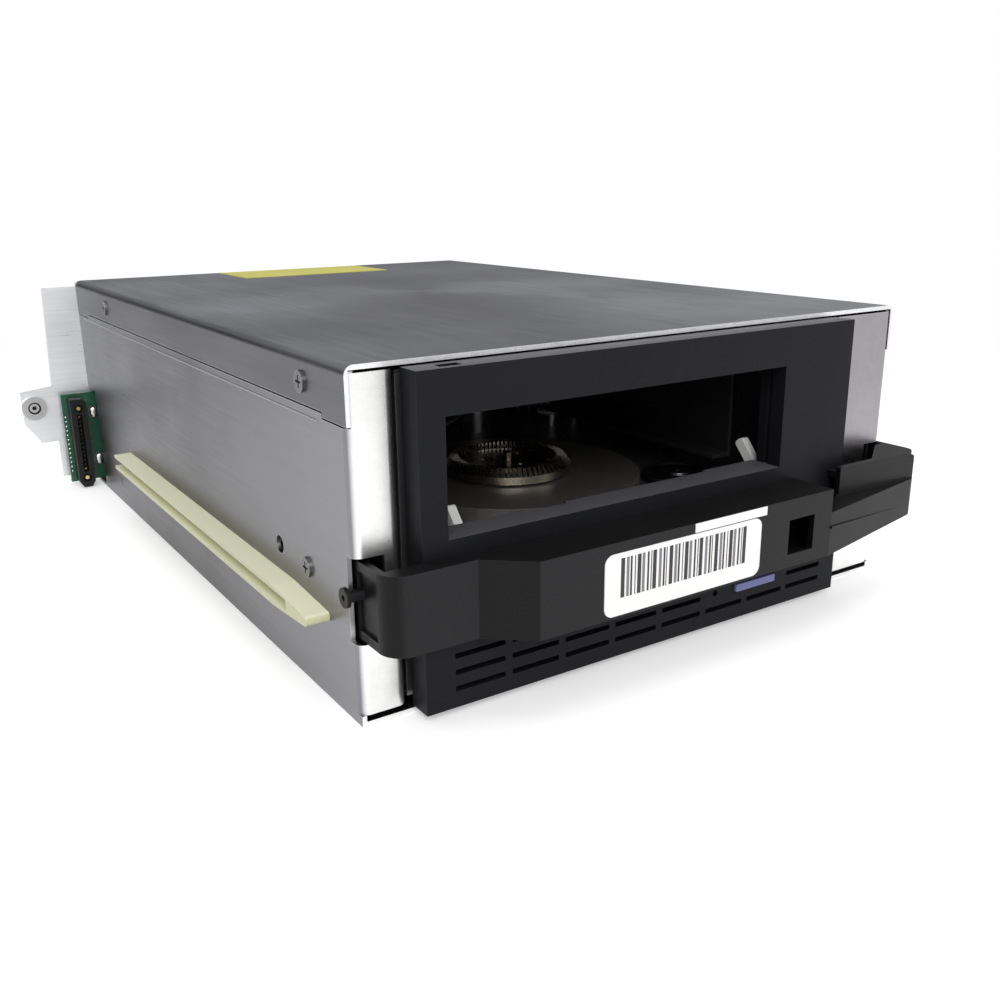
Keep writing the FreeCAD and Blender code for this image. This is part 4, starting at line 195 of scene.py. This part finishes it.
class Graph:
    """A node material with the few building blocks that the finishes share."""

    def __init__(self, name, colour, roughness, metallic=0.0):
        self.material = bpy.data.materials.new(name)
        self.material.use_nodes = True
        self.tree = self.material.node_tree
        self.shader = self.tree.nodes["Principled BSDF"]
        self.shader.inputs["Metallic"].default_value = metallic
        self.place = self.tree.nodes.new("ShaderNodeTexCoord").outputs["Object"]
        self.colour = self.constant_colour(colour)
        self.roughness = self.constant(roughness)
        self.relief = None

    def node(self, kind):
        return self.tree.nodes.new(kind)

    def link(self, source, target):
        self.tree.links.new(source, target)

    def constant(self, value):
        node = self.node("ShaderNodeValue")
        node.outputs[0].default_value = value
        return node.outputs[0]

    def constant_colour(self, colour):
        node = self.node("ShaderNodeRGB")
        node.outputs[0].default_value = (*colour, 1)
        return node.outputs[0]

    def math(self, operation, first, second=None):
        node = self.node("ShaderNodeMath")
        node.operation = operation
        for socket, value in zip(node.inputs, (first, second)):
            if isinstance(value, (int, float)):
                socket.default_value = value
            elif value is not None:
                self.link(value, socket)
        return node.outputs[0]

    def noise(self, scale, detail=3.0, stretch=(1, 1, 1), roughness=0.55):
        """Noise from 0 to 1, with features of 1/scale metres, drawn out along small stretches."""
        mapping = self.node("ShaderNodeMapping")
        mapping.inputs["Scale"].default_value = stretch
        self.link(self.place, mapping.inputs["Vector"])
        node = self.node("ShaderNodeTexNoise")
        node.inputs["Scale"].default_value = scale
        node.inputs["Detail"].default_value = detail
        node.inputs["Roughness"].default_value = roughness
        self.link(mapping.outputs[0], node.inputs["Vector"])
        return node.outputs["Fac"]

    def spread(self, value, low, high, start=0.0, end=1.0):
        node = self.node("ShaderNodeMapRange")
        limits = {"From Min": low, "From Max": high, "To Min": start, "To Max": end}
        for name, number in limits.items():
            node.inputs[name].default_value = number
        self.link(value, node.inputs["Value"])
        return node.outputs["Result"]

    def blend(self, factor, colour):
        """Turns the colour towards another where factor is high."""
        node = self.node("ShaderNodeMix")
        node.data_type = "RGBA"
        self.link(factor, node.inputs["Factor"])
        self.link(self.colour, node.inputs["A"])
        node.inputs["B"].default_value = (*colour, 1)
        self.colour = node.outputs["Result"]

    def shade(self, factor, low, high):
        """Multiplies the colour by low where factor is 0 and by high where it is 1."""
        scale = self.spread(factor, 0, 1, low, high)
        node = self.node("ShaderNodeVectorMath")
        node.operation = "SCALE"
        self.link(self.colour, node.inputs[0])
        self.link(scale, node.inputs["Scale"])
        self.colour = node.outputs[0]

    def roughen(self, factor, low, high):
        """Adds low to the roughness where factor is 0, and high where it is 1."""
        self.roughness = self.math("ADD", self.roughness, self.spread(factor, 0, 1, low, high))

    def mottle(self, noise, low, high):
        """Multiplies the colour by low where a noise is weak and by high where it is strong."""
        self.shade(self.spread(noise, *NOISE_SPAN), low, high)

    def scuff(self, noise, low, high, span=NOISE_SPAN):
        """Adds low to the roughness where a noise is weak, and high where it is strong."""
        self.roughen(self.spread(noise, *span), low, high)

    def pale_edges(self, edge_paling, colour, width=PALE_EDGE_WIDTH):
        """Turns the colour towards another along the edges, by the given share: rubbed edges on
        most finishes, painted highlights on the clutch ring, the clutch plate and the deck boss.
        """
        self.blend(self.math("MULTIPLY", self.edges(width), edge_paling), colour)

    def pale_ends(self, front, rear):
        """Multiplies the colour by front and rear towards the two ends of the long walls, as a
        painted reflection.
        """
        self.shade(self.along("y", -WALL_PLAIN, -WALL_END), 1.0, front)
        self.shade(self.along("y", WALL_PLAIN, WALL_END), 1.0, rear)

    def bump(self, height, distance, strength=1.0):
        node = self.node("ShaderNodeBump")
        node.inputs["Distance"].default_value = distance
        node.inputs["Strength"].default_value = strength
        self.link(height, node.inputs["Height"])
        if self.relief:
            self.link(self.relief, node.inputs["Normal"])
        self.relief = node.outputs[0]

    def edges(self, radius):
        """1 along outer and inner edges within about radius metres, 0 elsewhere."""
        bevel = self.node("ShaderNodeBevel")
        bevel.samples = BEVEL_SAMPLES
        bevel.inputs["Radius"].default_value = radius
        geometry = self.node("ShaderNodeNewGeometry")
        dot = self.node("ShaderNodeVectorMath")
        dot.operation = "DOT_PRODUCT"
        self.link(bevel.outputs[0], dot.inputs[0])
        self.link(geometry.outputs["Normal"], dot.inputs[1])
        bend = self.math("SUBTRACT", 1.0, dot.outputs["Value"])
        return self.spread(bend, EDGE_START, EDGE_END)

    def facing(self, axis, low=0.55, high=0.95):
        """1 where the surface faces along an axis, such as "z" or "-y", 0 elsewhere."""
        split = self.node("ShaderNodeSeparateXYZ")
        geometry = self.node("ShaderNodeNewGeometry")
        self.link(geometry.outputs["Normal"], split.inputs[0])
        part = split.outputs[axis[-1].upper()]
        if axis[0] == "-":
            part = self.math("MULTIPLY", part, -1.0)
        return self.spread(part, low, high)

    def along(self, axis, low, high):
        """0 to 1 between two places along an axis of the object's own coordinates."""
        split = self.node("ShaderNodeSeparateXYZ")
        self.link(self.place, split.inputs[0])
        return self.spread(split.outputs[axis.upper()], low, high)

    def finish(self, **sockets):
        for name, value in sockets.items():
            self.shader.inputs[name.replace("_", " ")].default_value = value
        self.link(self.colour, self.shader.inputs["Base Color"])
        self.link(self.roughness, self.shader.inputs["Roughness"])
        if self.relief:
            self.link(self.relief, self.shader.inputs["Normal"])
        return self.material


def brushed(name, colour, roughness, along, grain, metallic, rear):
    """Metal brushed along one axis, with paler edges, faint marks and a darker colour painted as
    shade on the faces that look to the rear."""
    graph = Graph(name, colour, roughness, metallic)
    stretch = [1.0, 1.0, 1.0]
    stretch["xyz".index(along)] = LONG_GRAIN
    streaks = graph.noise(2600, 4, stretch)
    coarse = graph.noise(420, 3, stretch)
    marks = graph.noise(24, 4)
    graph.mottle(streaks, 1 - 1.6 * grain, 1 + 1.6 * grain)
    graph.mottle(coarse, 1 - grain, 1 + grain)
    graph.mottle(marks, 0.94, 1.06)
    graph.blend(graph.math("MULTIPLY", graph.facing("y"), 0.85), rear)
    graph.scuff(streaks, -0.05, 0.05)
    graph.scuff(marks, -0.03, 0.04, CLOUD_SPAN)
    graph.pale_edges(0.25, (0.85, 0.85, 0.84))
    graph.bump(streaks, 0.00002, 0.5)
    return graph.finish(Anisotropic=0.5)


def coated(name, side, top, front):
    """Coated sheet, streaked along its length. Its colour goes by facing and place, in the
    stead of a room's reflections: one for the sides, paler towards both ends, one for the top
    and one for the front."""
    graph = Graph(name, side, 0.36, 1.0)
    graph.pale_ends(1.5, 1.5)
    graph.blend(graph.facing("z"), top)
    graph.blend(graph.facing("-y"), front)
    fine = graph.noise(2400, 4, (1, LONG_GRAIN, 1))
    broad = graph.noise(260, 4, (1, 0.03, 1))
    clouds = graph.noise(14, 4)
    graph.mottle(fine, 0.88, 1.12)
    graph.mottle(broad, 0.92, 1.08)
    graph.mottle(clouds, 0.92, 1.08)
    graph.scuff(fine, -0.04, 0.05)
    graph.scuff(clouds, -0.03, 0.05, CLOUD_SPAN)
    graph.pale_edges(0.45, (0.75, 0.75, 0.75), 0.0006)
    graph.bump(fine, 0.00002, 0.4)
    return graph.finish(Anisotropic=0.3)


def folded(name, side, front, shadow, across, up):
    """Folded sled sheet. Its colour goes by facing and place, in the stead of a room's
    reflections: dark mid-wall, paler towards both ends, near white where it faces the front,
    and turned to shadow there beyond the places across and up."""
    graph = Graph(name, side, 0.33, 1.0)
    fine = graph.noise(2600, 4, (1, LONG_GRAIN, 1))
    broad = graph.noise(420, 3, (1, LONG_GRAIN, 1))
    marks = graph.noise(22, 4)
    graph.pale_ends(2.2, 1.8)
    turned = graph.facing("-y")
    graph.blend(turned, front)
    shaded = graph.math("MULTIPLY", graph.along("x", *across), graph.along("z", *up))
    graph.blend(graph.math("MULTIPLY", turned, shaded), shadow)
    graph.mottle(fine, 0.95, 1.05)
    graph.mottle(broad, 0.97, 1.03)
    graph.mottle(marks, 0.93, 1.07)
    graph.scuff(fine, -0.05, 0.05)
    graph.scuff(marks, -0.03, 0.04, CLOUD_SPAN)
    graph.pale_edges(0.45, (0.82, 0.82, 0.81), 0.0005)
    graph.bump(fine, 0.00002, 0.5)
    return graph.finish(Anisotropic=0.4)


def satin(name, colour, roughness, edge_paling=0.3, edge=(0.8, 0.8, 0.79)):
    """Rolled or plated metal: even, faintly mottled, with paler edges."""
    graph = Graph(name, colour, roughness, 1.0)
    cloud = graph.noise(38, 5)
    fine = graph.noise(3200, 2)
    graph.mottle(cloud, 0.95, 1.05)
    graph.mottle(fine, 0.975, 1.025)
    graph.scuff(cloud, -0.04, 0.05)
    graph.scuff(fine, -0.03, 0.03)
    graph.pale_edges(edge_paling, edge)
    graph.bump(fine, 0.00001, 0.4)
    return graph.finish()


def moulded(name, colour, roughness, grain=0.00003, edge_paling=0.25, edge=None, gloss=0.5,
            top_light=None, above=0.0, sides=()):
    """Moulded plastic: fine grain, rubbed edges, a paler colour of painted light on what faces up
    above a height, and painted shade on each (axis, low, high) facing that is given, darkened by
    its level."""
    graph = Graph(name, colour, roughness)
    fine = graph.noise(1800, 3)
    cloud = graph.noise(30, 4)
    graph.mottle(cloud, 0.92, 1.08)
    graph.mottle(fine, 0.95, 1.05)
    graph.scuff(cloud, -0.05, 0.06)
    graph.scuff(fine, -0.04, 0.04)
    # Painted light: a paler colour on faces that look up, above a height.
    if top_light:
        lying = graph.math("MULTIPLY", graph.facing("z"), graph.along("z", above, above + MM))
        graph.blend(lying, top_light)
    # Painted shade: faces that look along each given axis are darkened by its level.
    for axis, low, high, level in sides:
        graph.shade(graph.facing(axis, low, high), 1.0, level)
    graph.pale_edges(edge_paling, edge or tuple(min(1.0, 1.5 * value + 0.06) for value in colour))
    graph.bump(fine, grain, 0.6)
    return graph.finish(Specular_IOR_Level=gloss)


def cast(name, colour, roughness=0.5):
    """Die-cast metal: slightly pebbled, with stained patches."""
    graph = Graph(name, colour, roughness, 0.85)
    pebbles = graph.noise(900, 5)
    stains = graph.noise(45, 4)
    graph.mottle(stains, 0.88, 1.08)
    graph.mottle(pebbles, 0.94, 1.06)
    graph.scuff(pebbles, -0.05, 0.08)
    graph.pale_edges(0.3, (0.75, 0.75, 0.74), 0.0005)
    graph.bump(pebbles, 0.00006, 0.6)
    return graph.finish()


def contacts(name, colour, dark, low, high):
    """Gold pins below low and above high, and contacts in the plug's slot between, darkened as
    painted shade.
    """
    graph = Graph(name, colour, 0.24, 1.0)
    inside = graph.math("MULTIPLY", graph.along("z", low, low + MM),
                        graph.along("z", high, high - MM))
    graph.blend(inside, dark)
    fine = graph.noise(3000, 2)
    graph.mottle(fine, 0.93, 1.07)
    graph.scuff(fine, -0.03, 0.04)
    graph.bump(fine, 0.00001, 0.4)
    return graph.finish()


def board(name, colour):
    """Solder mask with a net of fine lines, a little paler and sunk between its fields."""
    graph = Graph(name, colour, 0.32)
    voronoi = graph.node("ShaderNodeTexVoronoi")
    voronoi.distance = "CHEBYCHEV"
    voronoi.feature = "DISTANCE_TO_EDGE"
    voronoi.inputs["Scale"].default_value = 240
    graph.link(graph.place, voronoi.inputs["Vector"])
    fields = graph.spread(voronoi.outputs["Distance"], 0.02, 0.05)
    weave = graph.noise(2200, 2)
    graph.shade(fields, 1.35, 1.0)
    graph.mottle(weave, 0.9, 1.1)
    graph.roughen(fields, 0.0, 0.06)
    graph.bump(fields, 0.00003, 0.4)
    return graph.finish(Coat_Weight=0.3, Coat_Roughness=0.2)


def paper(name, colour, roughness=0.45, mottle=0.03):
    """Printed label stock with a faint tooth."""
    graph = Graph(name, colour, roughness)
    tooth = graph.noise(1500, 4)
    cloud = graph.noise(60, 4)
    graph.mottle(cloud, 1 - mottle, 1 + mottle)
    graph.mottle(tooth, 1 - 0.5 * mottle, 1 + 0.5 * mottle)
    graph.scuff(tooth, -0.04, 0.06)
    graph.bump(tooth, 0.00002, 0.4)
    return graph.finish()


# ---------------------------------------------------------------------------
# Finishes of the frame's own nodes
# ---------------------------------------------------------------------------
def dress(material, *nodes):
    for name in nodes:
        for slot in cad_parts[name].material_slots:
            slot.material = material


SLED = folded("sled_metal", (0.110, 0.110, 0.117), (0.90, 0.90, 0.89),
              shadow=(0.36, 0.34, 0.37), across=(0.060, 0.072), up=(0.015, 0.045))
COVER = coated("cover_metal", (0.100, 0.101, 0.110), (0.245, 0.250, 0.268), (0.85, 0.85, 0.85))
# Its faces that look to the rear take a darker colour as painted shade.
ALUMINIUM = brushed("aluminium", (0.93, 0.94, 0.97), 0.34, "x", grain=0.03,
                    metallic=0.7, rear=(0.42, 0.43, 0.45))
SCREW = satin("screw_metal", (0.17, 0.17, 0.17), 0.36)
BRIGHT = satin("bright_metal", (0.72, 0.72, 0.71), 0.22)
FERRULE = satin("ferrule_metal", (0.58, 0.58, 0.59), 0.34)
# Its warm pale edges are painted glints.
PLATE = satin("plate_metal", (0.16, 0.135, 0.105), 0.26, edge_paling=0.8, edge=(0.8, 0.68, 0.5))
SHEET = satin("drive_sheet_metal", (0.42, 0.42, 0.42), 0.38)
CASTING = cast("cast_metal", (0.10, 0.10, 0.098))
TRAY = moulded("tray_coating", (0.010, 0.010, 0.010), 0.5, gloss=0.2)
MOTOR = cast("motor_metal", (0.24, 0.23, 0.21), 0.42)
CAN = satin("motor_can_metal", (0.50, 0.50, 0.49), 0.32)
# Its upward faces take a paler colour as painted light.
RAIL = moulded("rail_plastic", (0.56, 0.555, 0.36), 0.40, edge_paling=0.2, edge=(0.82, 0.82, 0.64),
               top_light=(0.78, 0.77, 0.57))
# Its sill, facing up above 40 mm, takes a paler colour as painted light.
BEZEL = moulded("bezel_plastic", (0.0075, 0.0078, 0.0098), 0.46, grain=0.00004, gloss=0.12,
                edge_paling=0.05, top_light=(0.080, 0.078, 0.088), above=40 * MM)
# Its faces that look left, right and up are darkened as painted shade.
SHROUD = moulded("shroud_plastic", (0.0135, 0.0125, 0.0140), 0.42, grain=0.00005, gloss=0.17,
                 edge_paling=0.08, sides=(("-x", 0.25, 0.55, 0.3), ("x", 0.08, 0.16, 0.25),
                                   ("z", 0.5, 0.9, 0.4)))
FAN = moulded("fan_plastic", (0.012, 0.012, 0.013), 0.42, gloss=0.3)
# Its warm pale edges are painted highlights where the teeth catch the light.
CLUTCH = satin("clutch_metal", (0.33, 0.295, 0.245), 0.26, edge_paling=0.7, edge=(0.9, 0.82, 0.68))
# Its pale edges are painted rim highlights.
BOSS = satin("boss_metal", (0.06, 0.06, 0.064), 0.36, edge_paling=0.6, edge=(0.75, 0.72, 0.66))
# A dark disc of painted shade for the well round the captive screw's head.
WELL_SHADE = moulded("shadow_plastic", (0.008, 0.008, 0.009), 0.5, gloss=0.15)
REEL = moulded("reel_plastic", (0.16, 0.155, 0.15), 0.36)
ROLLER = moulded("roller_plastic", (0.70, 0.70, 0.68), 0.30)
GEAR = moulded("gear_plastic", (0.72, 0.71, 0.67), 0.38)
LEVER = moulded("lever_plastic", (0.74, 0.74, 0.72), 0.40)
ARM = moulded("arm_plastic", (0.030, 0.030, 0.031), 0.38)
BUTTON = moulded("button_plastic", (0.21, 0.22, 0.46), 0.42, edge_paling=0.12, gloss=0.3)
DISPLAY = moulded("display_plastic", (0.008, 0.008, 0.010), 0.14, grain=0.000004)
CHIP = moulded("chip_plastic", (0.014, 0.014, 0.015), 0.44, gloss=0.3)
PLUG = moulded("plug_plastic", (0.010, 0.010, 0.011), 0.40, gloss=0.25)
HANDLE = moulded("handle_plastic", (0.014, 0.014, 0.015), 0.50, gloss=0.3)
CABLE = moulded("cable_plastic", (0.34, 0.34, 0.35), 0.48)
CARRIAGE = cast("carriage_metal", (0.42, 0.42, 0.41), 0.40)
CERAMIC = moulded("head_ceramic", (0.06, 0.058, 0.056), 0.16, grain=0.000004)
# Its contacts between 8 and 32 mm are darkened as painted shade inside the plug's slot.
GOLD = contacts("contact_metal", (0.83, 0.60, 0.26), (0.05, 0.04, 0.03), 8 * MM, 32 * MM)
BOARD = board("board_green", (0.010, 0.075, 0.038))
LABEL = paper("label_paper", (0.84, 0.84, 0.83))
STICKER = paper("sticker_paper", (0.52, 0.49, 0.10), mottle=0.06)
# Black print; the same ink also serves as painted shade for the open slot in the wall.
INK_AND_SLIT_SHADE = paper("label_ink", (0.022, 0.020, 0.024), 0.5)
INK_GREY = paper("label_ink_grey", (0.20, 0.185, 0.20), 0.5)
SOLDER = satin("solder_metal", (0.66, 0.66, 0.64), 0.25)
BEAD = satin("bead_metal", (0.24, 0.24, 0.25), 0.30)

dress(SLED, "sled_tray")
dress(COVER, "top_cover")
dress(ALUMINIUM, "rear_plate")
dress(SCREW, "case_screws")
dress(FERRULE, "screw_ferrule", "captive_screw")
dress(PLATE, "clutch_plate")
dress(BRIGHT, "spacers", "deck_posts", "side_pivots", "head_guide_posts", "head_lead_screw")
dress(SHEET, "drive_lid", "drive_floor")
dress(TRAY, "cartridge_tray", "loader_cam_frame")
dress(CASTING, "drive_base")
dress(MOTOR, "cartridge_reel_motor", "takeup_reel_motor")
dress(CAN, "loader_motor", "threader_motor", "head_stepper", "host_socket")
dress(RAIL, "side_rail_left", "side_rail_right")
dress(BOARD, "interface_board", "logic_board", "controller_board")
dress(CHIP, "board_chips")
dress(PLUG, "interface_plug", "ribbon_plugs", "drive_rear_socket")
dress(GOLD, "plug_contacts")
dress(BEZEL, "front_bezel")
dress(SHROUD, "adapter_shroud")
dress(BUTTON, "eject_button")
dress(DISPLAY, "status_display")
dress(LABEL, "shroud_labels")
dress(STICKER, "cover_sticker")
dress(CLUTCH, "reel_clutch")
dress(REEL, "takeup_reel", "takeup_reel_flange")
dress(ROLLER, *(f"guide_roller_{number}" for number in range(1, 5)))
dress(CERAMIC, "tape_head")
dress(CARRIAGE, "head_carriage")
dress(GEAR, "loader_gear", "loader_motor_gear", "threader_gear", "threader_pinion")
dress(LEVER, "cartridge_lever_left", "cartridge_lever_right")
dress(ARM, "threader_arm", "leader_grabber")
dress(CABLE, "ribbon_cable")
dress(FAN, "fan_frame", "fan_rotor")
dress(HANDLE, "pull_handle")


# ---------------------------------------------------------------------------
# Small pieces over the frame
# ---------------------------------------------------------------------------
def add_piece(name, bm, material, body="root", bevel=0.0):
    """A mesh piece in the row frame, with softened edges, on a body and a material slot."""
    mesh = bpy.data.meshes.new(name)
    bmesh.ops.recalc_face_normals(bm, faces=bm.faces)
    bm.to_mesh(mesh)
    bm.free()
    piece = bpy.data.objects.new(name, mesh)
    bpy.context.scene.collection.objects.link(piece)
    mesh.materials.append(material)
    if bevel:
        softened = piece.modifiers.new("softened", "BEVEL")
        softened.width = bevel
        softened.segments = 2
        softened.limit_method = "ANGLE"
    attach(piece, body)


def add_block(bm, low, high):
    """An axis-aligned block between two corners."""
    corners = [bm.verts.new((x, y, z)) for x in (low[0], high[0])
               for y in (low[1], high[1]) for z in (low[2], high[2])]
    for face in ((0, 1, 3, 2), (4, 6, 7, 5), (0, 4, 5, 1),
                 (2, 3, 7, 6), (0, 2, 6, 4), (1, 5, 7, 3)):
        bm.faces.new([corners[index] for index in face])


def add_dome(bm, centre, axis, radius, height, rings=4, count=16):
    """A shallow dome that stands on a surface, towards +axis or -axis ("x", "-x", ...)."""
    way = -1.0 if axis[0] == "-" else 1.0
    along = "xyz".index(axis[-1])
    first, second = [index for index in range(3) if index != along]
    circles = []
    for step in range(rings):
        angle = 0.5 * math.pi * step / rings
        loop = []
        for index in range(count):
            turn = 2 * math.pi * index / count
            point = list(centre)
            point[along] += way * height * math.sin(angle)
            point[first] += radius * math.cos(angle) * math.cos(turn)
            point[second] += radius * math.cos(angle) * math.sin(turn)
            loop.append(bm.verts.new(point))
        circles.append(loop)
    tip = list(centre)
    tip[along] += way * height
    top = bm.verts.new(tip)
    for lower, upper in zip(circles, circles[1:]):
        for index in range(count):
            other = (index + 1) % count
            bm.faces.new((lower[index], lower[other], upper[other], upper[index]))
    for index in range(count):
        bm.faces.new((circles[-1][index], circles[-1][(index + 1) % count], top))
    bm.faces.new(circles[0])


def add_lathe(bm, centre, profile, count=96):
    """A ring of faces turned about the vertical through centre, from (radius, height) pairs."""
    loops = []
    for radius, height in profile:
        loops.append([bm.verts.new((centre[0] + radius * math.cos(2 * math.pi * step / count),
                                    centre[1] + radius * math.sin(2 * math.pi * step / count),
                                    centre[2] + height)) for step in range(count)])
    for lower, upper in zip(loops, loops[1:] + loops[:1]):
        for step in range(count):
            other = (step + 1) % count
            bm.faces.new((lower[step], lower[other], upper[other], upper[step]))


INK_PROUD, INK_SUNK = 0.03 * MM, 0.02 * MM
BARS_LEFT, BARS_RIGHT = 5.0 * MM, 49.0 * MM
BARS_BOTTOM, BARS_TOP = 4.6 * MM, 15.0 * MM


def label_bars():
    """Generic printed bars on the nose label: two inks, widths from a fixed rule."""
    low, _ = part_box("shroud_labels")
    front = low[1]
    left, right = low[0] + BARS_LEFT, low[0] + BARS_RIGHT
    bottom, top = low[2] + BARS_BOTTOM, low[2] + BARS_TOP
    black, grey = bmesh.new(), bmesh.new()
    across, index = left, 0
    while across < right:
        width = (0.30 + 0.30 * ((7 * index + 3) % 4)) * MM
        gap = (0.35 + 0.22 * ((5 * index + 1) % 3)) * MM
        target = grey if index % 4 == 1 else black
        add_block(target, (across, front - INK_PROUD, bottom),
                  (min(across + width, right), front + INK_SUNK, top))
        across += width + gap
        index += 1
    add_piece("label_bars_black", black, INK_AND_SLIT_SHADE)
    add_piece("label_bars_grey", grey, INK_GREY)


PIN_ROWS = 13
PIN_BESIDE = 1.3 * MM
PIN_FIRST, PIN_PITCH = 6.5, 2.0
PIN_RADIUS, PIN_HEIGHT, PIN_SUNK = 0.42 * MM, 0.30 * MM, 0.01 * MM
CROWN_PLACE = (-93.8 * MM, 128.62 * MM)
CROWN_HEIGHTS = (11 * MM, 32 * MM)
CROWN_RADIUS, CROWN_HEIGHT = 2.3 * MM, 0.9 * MM


def solder_dots():
    """One column of soldered pins beside the plug, and the crowns of the two board screws."""
    board_low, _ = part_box("interface_board")
    plug_low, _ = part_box("interface_plug")
    bm = bmesh.new()
    for step in range(PIN_ROWS):
        place = (plug_low[0] - PIN_BESIDE, board_low[1] + PIN_SUNK,
                 plug_low[2] + (PIN_FIRST + PIN_PITCH * step) * MM)
        add_dome(bm, place, "-y", PIN_RADIUS, PIN_HEIGHT)
    add_piece("solder_dots", bm, SOLDER)
    crowns = bmesh.new()
    for high in CROWN_HEIGHTS:
        add_dome(crowns, (*CROWN_PLACE, high), "-y", CROWN_RADIUS, CROWN_HEIGHT, count=24)
    add_piece("board_screw_crowns", crowns, SOLDER)


SLIT_FRONT, SLIT_REAR = 89.6 * MM, 90.6 * MM
SLIT_LOW, SLIT_HIGH = 7.2 * MM, 10.8 * MM
SLIT_PROUD, SLIT_SUNK = 0.02 * MM, 0.1 * MM


def wall_slit():
    """A dark mark of painted shade for the open slot low on the sled's left wall, towards the
    rear.
    """
    low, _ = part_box("sled_tray")
    bm = bmesh.new()
    add_block(bm, (low[0] - SLIT_PROUD, SLIT_FRONT, SLIT_LOW),
              (low[0] + SLIT_SUNK, SLIT_REAR, SLIT_HIGH))
    add_piece("wall_slit", bm, INK_AND_SLIT_SHADE)


WELL_BEHIND = 0.25 * MM
WELL_RADIUS, WELL_HEIGHT = 2.55 * MM, 0.05 * MM


def ferrule_well():
    """A dark disc of painted shade in the well round the captive screw's head, which stands
    through it.
    """
    low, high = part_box("captive_screw")
    centre = ((low[0] + high[0]) / 2, low[1] + WELL_BEHIND, (low[2] + high[2]) / 2)
    bm = bmesh.new()
    add_dome(bm, centre, "-y", WELL_RADIUS, WELL_HEIGHT, count=32)
    add_piece("ferrule_well", bm, WELL_SHADE)


BEAD_FRONT, BEAD_REAR = -118 * MM, 124 * MM
BEAD_PROUD, BEAD_SUNK = 0.12 * MM, 0.2 * MM
BEAD_LOW, BEAD_HIGH = 1.5 * MM, 0.9 * MM


def flange_bead():
    """The joggle pressed along the left wall just under the cover's flange."""
    cover_low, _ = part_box("top_cover")
    tray_low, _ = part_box("sled_tray")
    bm = bmesh.new()
    add_block(bm, (tray_low[0] - BEAD_PROUD, BEAD_FRONT, cover_low[2] - BEAD_LOW),
              (tray_low[0] + BEAD_SUNK, BEAD_REAR, cover_low[2] - BEAD_HIGH))
    add_piece("flange_bead", bm, BEAD, bevel=0.1 * MM)


BOSS_PLACE = (30 * MM, -108 * MM, 36 * MM)
BOSS_PROFILE = ((0.6, 0.0), (11.0, 0.0), (11.0, 2.2), (10.5, 2.7), (9.7, 2.7), (9.2, 2.2),
                (4.0, 2.2), (3.6, 2.8), (0.6, 2.8))


def deck_boss():
    """A low turned boss on the deck, right of the cartridge's reel motor; its size is a guess."""
    bm = bmesh.new()
    add_lathe(bm, BOSS_PLACE, [(radius * MM, height * MM) for radius, height in BOSS_PROFILE])
    add_piece("deck_boss", bm, BOSS)


label_bars()
solder_dots()
wall_slit()
ferrule_well()
flange_bead()
deck_boss()
